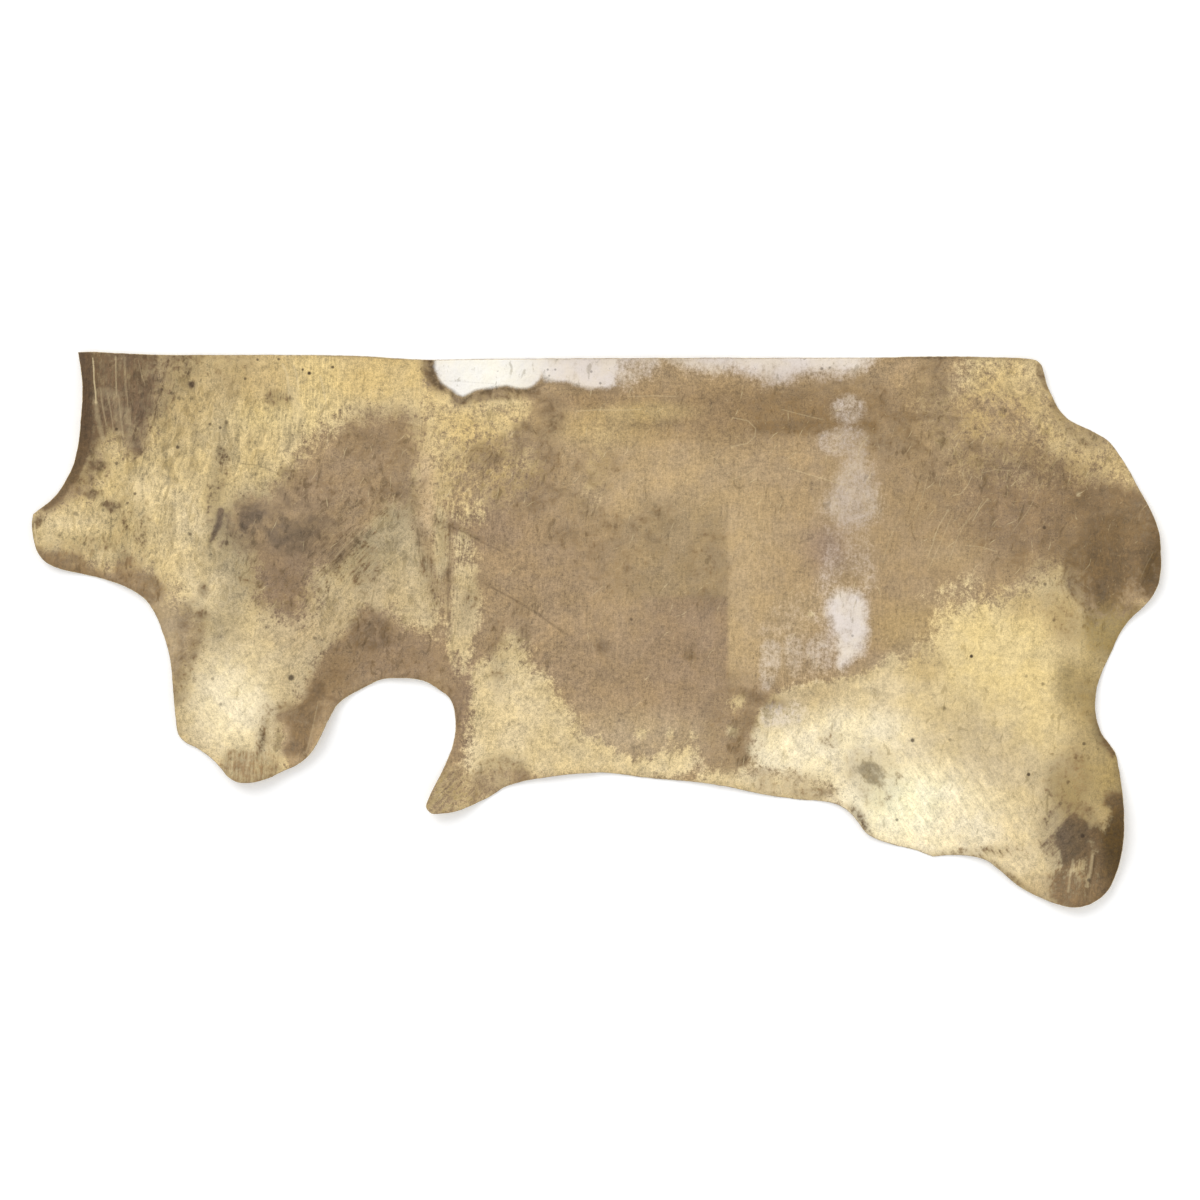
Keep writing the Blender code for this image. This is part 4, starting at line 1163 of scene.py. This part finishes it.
class Shader:
    """A material with short calls for its nodes. Sizes are in millimetres, and turns in degrees."""

    def __init__(self, name):
        self.material = bpy.data.materials.new(name)
        self.material.use_nodes = True
        self.tree = self.material.node_tree
        self.surface = self.tree.nodes["Principled BSDF"]
        self.place = self.tree.nodes.new("ShaderNodeTexCoord").outputs["Object"]

    def put(self, socket, value):
        """Links a socket to another node's output, or sets its value."""
        if isinstance(value, bpy.types.NodeSocket):
            self.tree.links.new(value, socket)
        else:
            socket.default_value = value

    def node(self, kind, settings=(), **sockets):
        """A new node with its settings and its inputs, whose names have _ for a space."""
        node = self.tree.nodes.new(kind)
        for name, value in dict(settings).items():
            setattr(node, name, value)
        for name, value in sockets.items():
            self.put(node.inputs[name.replace("_", " ")], value)
        return node

    def attribute(self, name, output="Fac"):
        """What the mesh holds under a name."""
        return self.node("ShaderNodeAttribute", {"attribute_name": name}).outputs[output]

    def math(self, operation, *values):
        """One arithmetic step."""
        node = self.node("ShaderNodeMath", {"operation": operation})
        for socket, value in zip(node.inputs, values):
            self.put(socket, value)
        return node.outputs[0]

    def add(self, *values):
        """The sum of the values."""
        total = values[0]
        for value in values[1:]:
            total = self.math("ADD", total, value)
        return total

    def times(self, *values):
        """The product of the values."""
        total = values[0]
        for value in values[1:]:
            total = self.math("MULTIPLY", total, value)
        return total

    def ramp(self, value, low, high, to_low=0.0, to_high=1.0, kind="SMOOTHSTEP"):
        """The value, taken from one range to another and kept in it."""
        node = self.node("ShaderNodeMapRange", {"interpolation_type": kind}, Value=value)
        for name, amount in (("From Min", low), ("From Max", high), ("To Min", to_low), ("To Max", to_high)):
            self.put(node.inputs[name], amount)
        return node.outputs[0]

    def mix(self, share, first, second, blend="MIX"):
        """One colour laid over another."""
        node = self.node("ShaderNodeMix", {"data_type": "RGBA", "blend_type": blend})
        for socket, value in ((0, share), (6, first), (7, second)):
            self.put(node.inputs[socket], value)
        return node.outputs[2]

    def bright(self, colour, amount):
        """A colour made lighter or darker."""
        node = self.node("ShaderNodeVectorMath", {"operation": "SCALE"})
        self.put(node.inputs[0], colour)
        self.put(node.inputs["Scale"], amount)
        return node.outputs[0]

    def mapped(self, size, seed=0, stretch=1.0, turn=0.0):
        """Places measured in a feature's size, and stretch times as long along its turn."""
        turned = self.node("ShaderNodeVectorRotate", {"rotation_type": "Z_AXIS"}, Vector=self.place,
                           Angle=math.radians(-turn)).outputs[0]
        node = self.node("ShaderNodeMapping", Vector=turned)
        node.inputs["Location"].default_value = (seed * 7.31, seed * 3.17, 0)
        node.inputs["Scale"].default_value = (1 / (size * stretch * MM), 1 / (size * MM), 1 / (size * MM))
        return node.outputs[0]

    def noise(self, size, detail=2.0, roughness=0.5, seed=0, stretch=1.0, turn=0.0, bend=0.0):
        """Cloudy noise about 0, mostly between -1 and 1."""
        node = self.node("ShaderNodeTexNoise", {"noise_dimensions": "2D"},
                         Vector=self.mapped(size, seed, stretch, turn), Scale=1.0,
                         Detail=detail, Roughness=roughness, Distortion=bend)
        return self.math("MULTIPLY_ADD", node.outputs["Fac"], 6.0, -3.0)

    def strands(self, cell, width, length, turn, spread, share, seed=0, wander=0.25):
        """Short lines in a share of random cells: 1 on a line and 0 beside it."""
        place = self.mapped(cell, seed)
        warp = self.node("ShaderNodeTexNoise", {"noise_dimensions": "2D"}, Vector=place, Scale=1.7,
                         Detail=1.0)
        push = self.node("ShaderNodeVectorMath", {"operation": "MULTIPLY_ADD"})
        self.put(push.inputs[0], warp.outputs["Color"])
        push.inputs[1].default_value = (wander, wander, 0)
        self.put(push.inputs[2], place)
        cells = self.node("ShaderNodeTexVoronoi", {"voronoi_dimensions": "2D"}, Vector=push.outputs[0],
                          Scale=1.0)
        local = self.node("ShaderNodeVectorMath", {"operation": "SUBTRACT"})
        self.put(local.inputs[0], push.outputs[0])
        self.put(local.inputs[1], cells.outputs["Position"])
        chance = self.node("ShaderNodeSeparateColor", Color=cells.outputs["Color"])
        angle = self.math("MULTIPLY_ADD", chance.outputs[0], math.radians(-spread),
                          math.radians(spread / 2 - turn))
        turned = self.node("ShaderNodeVectorRotate", {"rotation_type": "Z_AXIS"}, Vector=local.outputs[0],
                           Angle=angle)
        axes = self.node("ShaderNodeSeparateXYZ", Vector=turned.outputs[0])
        across = self.ramp(self.math("ABSOLUTE", axes.outputs[1]), width / cell, 0.0)
        lengthwise = self.ramp(self.math("ABSOLUTE", axes.outputs[0]), length / cell / 2, 0.0)
        there = self.math("LESS_THAN", chance.outputs[1], share)
        return self.times(across, lengthwise, there)

    def bump(self, height, distance, strength=1.0, under=None):
        """A surface direction tilted by a height, whose full swing is distance."""
        node = self.node("ShaderNodeBump", Height=height, Distance=distance * MM, Strength=strength)
        if under is not None:
            self.put(node.inputs["Normal"], under)
        return node.outputs[0]


def grain_material():
    """The mottled grain side."""
    s = Shader("hide_grain_side")
    broad = s.noise(120, 2, seed=1)
    cloud = s.noise(46, 4, 0.6, seed=2)
    mottle = s.noise(17, 4, 0.65, seed=3)
    fleck = s.noise(6.5, 3, 0.65, seed=4)
    pore = s.noise(2.6, 2, 0.6, seed=5)
    drift = s.noise(30, 4, 0.65, seed=8, bend=0.6)
    brushed = s.noise(4.5, 3, 0.6, seed=6, stretch=9, turn=88)
    crossed = s.noise(4.0, 2, 0.6, seed=10, stretch=9, turn=1)
    rising = s.noise(6, 3, 0.65, seed=7, stretch=5, turn=47)
    falling = s.noise(4.5, 3, 0.65, seed=17, stretch=7, turn=-52)
    wrinkled = s.noise(17, 5, 0.6, seed=18, stretch=2.8, turn=80, bend=0.9)
    swept = s.noise(11, 3, 0.55, seed=26, stretch=8, turn=-58)
    swirled = s.noise(12, 3, 0.55, seed=27, stretch=8, turn=42)
    lively = s.ramp(s.attribute("calm"), 0.0, 1.0, 1.0, 0.4, "LINEAR")
    blotch = s.noise(30, 4, 0.66, seed=23, stretch=1.8, turn=80, bend=1.2)
    web = s.ramp(s.math("ABSOLUTE", s.noise(10, 3, 0.62, seed=24, bend=1.4)), 0.12, 0.0)
    crack = s.ramp(s.math("ABSOLUTE", s.noise(13, 3, 0.62, seed=25, bend=1.4)), 0.1, 0.0)
    web = s.times(web, s.ramp(blotch, -0.5, 0.7))
    crack = s.times(crack, s.ramp(drift, -0.3, 0.8), lively)
    streaks = s.times(brushed, s.attribute("streaks"))
    combed = s.add(s.times(s.add(rising, swirled), s.attribute("rising")),
                   s.times(s.add(falling, swept), s.attribute("falling")))
    wrinkles = s.times(wrinkled, s.attribute("wrinkles"))

    def total(start, *parts):
        for amount, part in parts:
            start = s.math("MULTIPLY_ADD", part, amount, start)
        return start

    def cover(layer, low, high, *parts):
        return s.ramp(total(s.attribute(layer + " cover"), *parts), low, high)

    ground = s.bright(
        s.attribute("ground colour", "Color"),
        total(1.0, (0.04, broad), (0.09, s.times(cloud, lively)), (0.12, s.times(mottle, lively)),
              (0.17, s.times(fleck, lively)), (0.15, s.times(pore, lively)), (0.12, streaks),
              (0.04, brushed), (0.03, crossed), (0.12, combed), (0.12, wrinkles), (0.10, web),
              (-0.12, crack)),
    )
    cream = s.bright(
        s.attribute("cream colour", "Color"),
        total(1.0, (0.03, broad), (0.09, drift), (0.14, s.times(mottle, lively)),
              (0.16, s.times(fleck, lively)), (0.14, s.times(pore, lively)), (0.13, streaks),
              (0.10, combed), (0.28, wrinkles), (0.02, brushed), (0.05, web), (-0.08, crack)),
    )
    dark = s.bright(
        s.attribute("dark colour", "Color"),
        total(1.0, (0.12, cloud), (0.18, mottle), (0.17, fleck), (0.11, pore), (0.22, streaks),
              (0.12, combed), (0.12, wrinkles), (0.08, web)),
    )
    pale = s.bright(
        s.attribute("pale colour", "Color"),
        total(1.0, (0.02, cloud), (0.02, mottle), (0.02, s.noise(3.5, 3, 0.7, seed=9))),
    )
    creamy = cover("cream", 0.0, 1.0, (0.22, cloud), (0.28, mottle), (0.22, fleck), (0.1, pore),
                   (0.26, combed), (0.3, streaks))
    colour = s.mix(creamy, ground, cream)
    dim = cover("dark", 0.0, 1.0, (0.2, drift), (0.22, mottle), (0.16, fleck), (0.08, pore),
                (0.22, combed), (0.3, streaks), (0.24, wrinkles))
    colour = s.mix(dim, colour, dark)
    pale_patch = cover("pale", 0.05, 1.0, (0.14, s.times(cloud, lively)), (0.12, s.times(mottle, lively)),
                  (0.1, fleck), (0.06, pore), (0.04, s.times(brushed, lively)), (0.08, web))
    colour = s.mix(pale_patch, colour, pale)

    warm = s.mix(s.ramp(s.noise(60, 3, 0.6, seed=19), -1, 1), (1.015, 1.0, 0.955, 1), (0.985, 0.99, 1.03, 1))
    colour = s.mix(1.0, colour, warm, "MULTIPLY")
    soiled = total(s.attribute("grime"), (0.5, wrinkled), (0.6, blotch), (0.25, mottle), (0.15, fleck))
    grime = s.ramp(soiled, 0.55, 1.15)
    colour = s.mix(s.times(grime, 0.68), colour, s.mix(1.0, colour, (0.55, 0.53, 0.47, 1), "MULTIPLY"))
    dashes = s.strands(26, 2.6, 24, 84, 30, s.attribute("dashes"), seed=11)
    short = s.strands(15, 2.2, 12, 82, 50, s.attribute("dashes"), seed=12)
    long = s.strands(46, 4.5, 46, 86, 24, s.attribute("dashes"), seed=16, wander=0.4)
    colour = s.mix(s.times(s.math("MAXIMUM", dashes, short), 0.66), colour, s.bright(colour, 0.6))
    colour = s.mix(s.times(long, 0.5), colour, s.bright(colour, 0.62))
    freckles = s.strands(36, 2.6, 5, 0, 180, s.attribute("freckles"), seed=15)
    colour = s.mix(s.times(freckles, 0.7), colour, s.bright(colour, 0.45))
    hairs = s.strands(44, 1.3, 44, 62, 70, s.attribute("scratches"), seed=13)
    fine = s.strands(15, 1.0, 11, 55, 150, s.attribute("scratches"), seed=14)
    scratched = s.times(s.math("MAXIMUM", hairs, s.times(fine, 0.6)), s.ramp(mottle, -0.8, 0.6))
    light = tuple(paint("light cream")) + (1,)
    colour = s.mix(s.times(scratched, 0.6), colour, light)
    colour = s.mix(s.attribute("drawn pale"), colour, light)
    ragged = s.ramp(total(0.5, (0.25, mottle), (0.3, fleck)), 0.0, 0.8)
    ink = tuple(paint("ink")) + (1,)
    colour = s.mix(s.times(s.attribute("drawn dark"), 0.85, ragged), colour, ink)
    colour = s.mix(s.attribute("dots"), colour, ink)
    # Painted shade of the curled cut edge: the colour darkens towards the edge, less on the pale patches.
    wear_and_rim_shade = s.ramp(total(s.attribute("rim"), (0.25, cloud), (0.25, mottle)), 0.15, 1.1)
    rim_shade_strength = s.math("SUBTRACT", 0.32, s.times(pale_patch, 0.26))
    colour = s.mix(s.times(wear_and_rim_shade, rim_shade_strength), colour, s.mix(1.0, colour, (0.6, 0.55, 0.46, 1), "MULTIPLY"))
    s.put(s.surface.inputs["Base Color"], colour)

    rough = total(0.56, (0.05, mottle), (0.04, cloud))
    s.put(s.surface.inputs["Roughness"], rough)
    s.surface.inputs["Specular IOR Level"].default_value = 0.35
    grain = s.node("ShaderNodeTexVoronoi", {"voronoi_dimensions": "2D", "feature": "DISTANCE_TO_EDGE"},
                   Vector=s.mapped(2.6, 21), Scale=1.0).outputs["Distance"]
    normal = s.bump(s.ramp(grain, 0.0, 0.35), 0.12)
    normal = s.bump(s.add(mottle, s.times(fleck, 0.5)), 0.3, under=normal)
    normal = s.bump(s.add(streaks, combed, s.times(wrinkles, 1.6)), 0.4, under=normal)
    normal = s.bump(s.add(s.times(s.math("MAXIMUM", dashes, short), -1.0), scratched), 0.3, under=normal)
    s.put(s.surface.inputs["Normal"], normal)
    return s.material


def edge_material():
    """The raw cut edge: paler, with fine fibres."""
    s = Shader("hide_cut_edge")
    along = s.noise(9, 3, 0.6, seed=31)
    fibre = s.noise(1.6, 3, 0.7, seed=32)
    light, deep = tuple(paint("edge light")) + (1,), tuple(paint("edge deep")) + (1,)
    colour = s.mix(s.ramp(s.add(along, s.times(fibre, 0.7)), -1, 1), deep, light)
    s.put(s.surface.inputs["Base Color"], colour)
    s.put(s.surface.inputs["Roughness"], s.math("MULTIPLY_ADD", fibre, 0.06, 0.72))
    s.surface.inputs["Specular IOR Level"].default_value = 0.25
    s.put(s.surface.inputs["Normal"], s.bump(fibre, 0.3))
    return s.material


def flesh_material():
    """The pale, fibrous flesh side."""
    s = Shader("hide_flesh_side")
    cloud = s.noise(80, 4, 0.6, seed=41)
    nap = s.noise(4, 4, 0.7, seed=42, stretch=3, turn=20)
    light, deep = tuple(paint("flesh light")) + (1,), tuple(paint("flesh deep")) + (1,)
    colour = s.mix(s.ramp(s.add(cloud, s.times(nap, 0.6)), -1.2, 1.2), deep, light)
    s.put(s.surface.inputs["Base Color"], colour)
    s.put(s.surface.inputs["Roughness"], s.math("MULTIPLY_ADD", nap, 0.05, 0.85))
    s.surface.inputs["Specular IOR Level"].default_value = 0.15
    s.put(s.surface.inputs["Normal"], s.bump(nap, 0.5))
    return s.material


def add_hide():
    """The painted hide, in the place of the part's own."""
    mesh, flat, depth = hide_mesh()
    for layer in ("ground", "cream", "dark", "pale"):
        keep_colours(mesh, layer + " colour", tint_of(flat, layer))
    for layer in ("cream", "dark", "pale"):
        keep_values(mesh, layer + " cover", cover_of(flat, layer))
    for mark in DENSITIES:
        keep_values(mesh, mark, density_of(flat, mark))
    for name, strength in zip(("dots", "drawn dark", "drawn pale"), drawn_marks(flat)):
        keep_values(mesh, name, strength)
    # The rim weight drives the painted shade along the cut edge.
    keep_values(mesh, "rim", ease(1 - depth / RIM_SHADE))
    for material in (grain_material(), edge_material(), flesh_material()):
        mesh.materials.append(material)
    hide = bpy.data.objects.new("hide_leather", mesh)
    bpy.context.scene.collection.objects.link(hide)
    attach(hide, "root")
    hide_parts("hide")


def add_floor():
    """A plain pale floor, just under the hide."""
    mesh = bpy.data.meshes.new("floor")
    corners = [(-FLOOR_REACH, -FLOOR_REACH), (FLOOR_REACH, -FLOOR_REACH), (FLOOR_REACH, FLOOR_REACH),
               (-FLOOR_REACH, FLOOR_REACH)]
    mesh.from_pydata([(x, y, -FLOOR_GAP) for x, y in corners], [], [(0, 1, 2, 3)])
    s = Shader("floor")
    s.surface.inputs["Base Color"].default_value = (0.97, 0.97, 0.97, 1)
    s.surface.inputs["Roughness"].default_value = 0.9
    s.surface.inputs["Specular IOR Level"].default_value = 0.1
    s.surface.inputs["Emission Color"].default_value = (1, 1, 1, 1)
    s.surface.inputs["Emission Strength"].default_value = 0.1
    mesh.materials.append(s.material)
    floor = bpy.data.objects.new("floor", mesh)
    bpy.context.scene.collection.objects.link(floor)


def add_light():
    """An even white sky, and a large soft lamp from the upper left."""
    world = bpy.data.worlds.new("studio")
    world.use_nodes = True
    world.node_tree.nodes["Background"].inputs["Color"].default_value = (1, 1, 1, 1)
    world.node_tree.nodes["Background"].inputs["Strength"].default_value = SKY
    bpy.context.scene.world = world
    lamp = bpy.data.lights.new("lamp", "SUN")
    lamp.energy = LAMP
    lamp.angle = math.radians(36)
    sun = bpy.data.objects.new("lamp", lamp)
    sun.rotation_euler = (math.radians(-38), math.radians(-34), 0)
    bpy.context.scene.collection.objects.link(sun)


def add_camera():
    """Straight above the hide, framed as in the photograph."""
    lens = bpy.data.cameras.new("camera")
    lens.lens, lens.sensor_width = FOCAL_LENGTH, SENSOR_WIDTH
    camera = bpy.data.objects.new("camera", lens)
    height = FRAME_WIDTH * MM * lens.lens / lens.sensor_width
    camera.location = (CAMERA_PLACE[0] * MM, CAMERA_PLACE[1] * MM, height)
    bpy.context.scene.collection.objects.link(camera)
    bpy.context.scene.camera = camera
    bpy.context.scene.view_settings.view_transform = "Standard"


add_hide()
add_floor()
add_light()
add_camera()
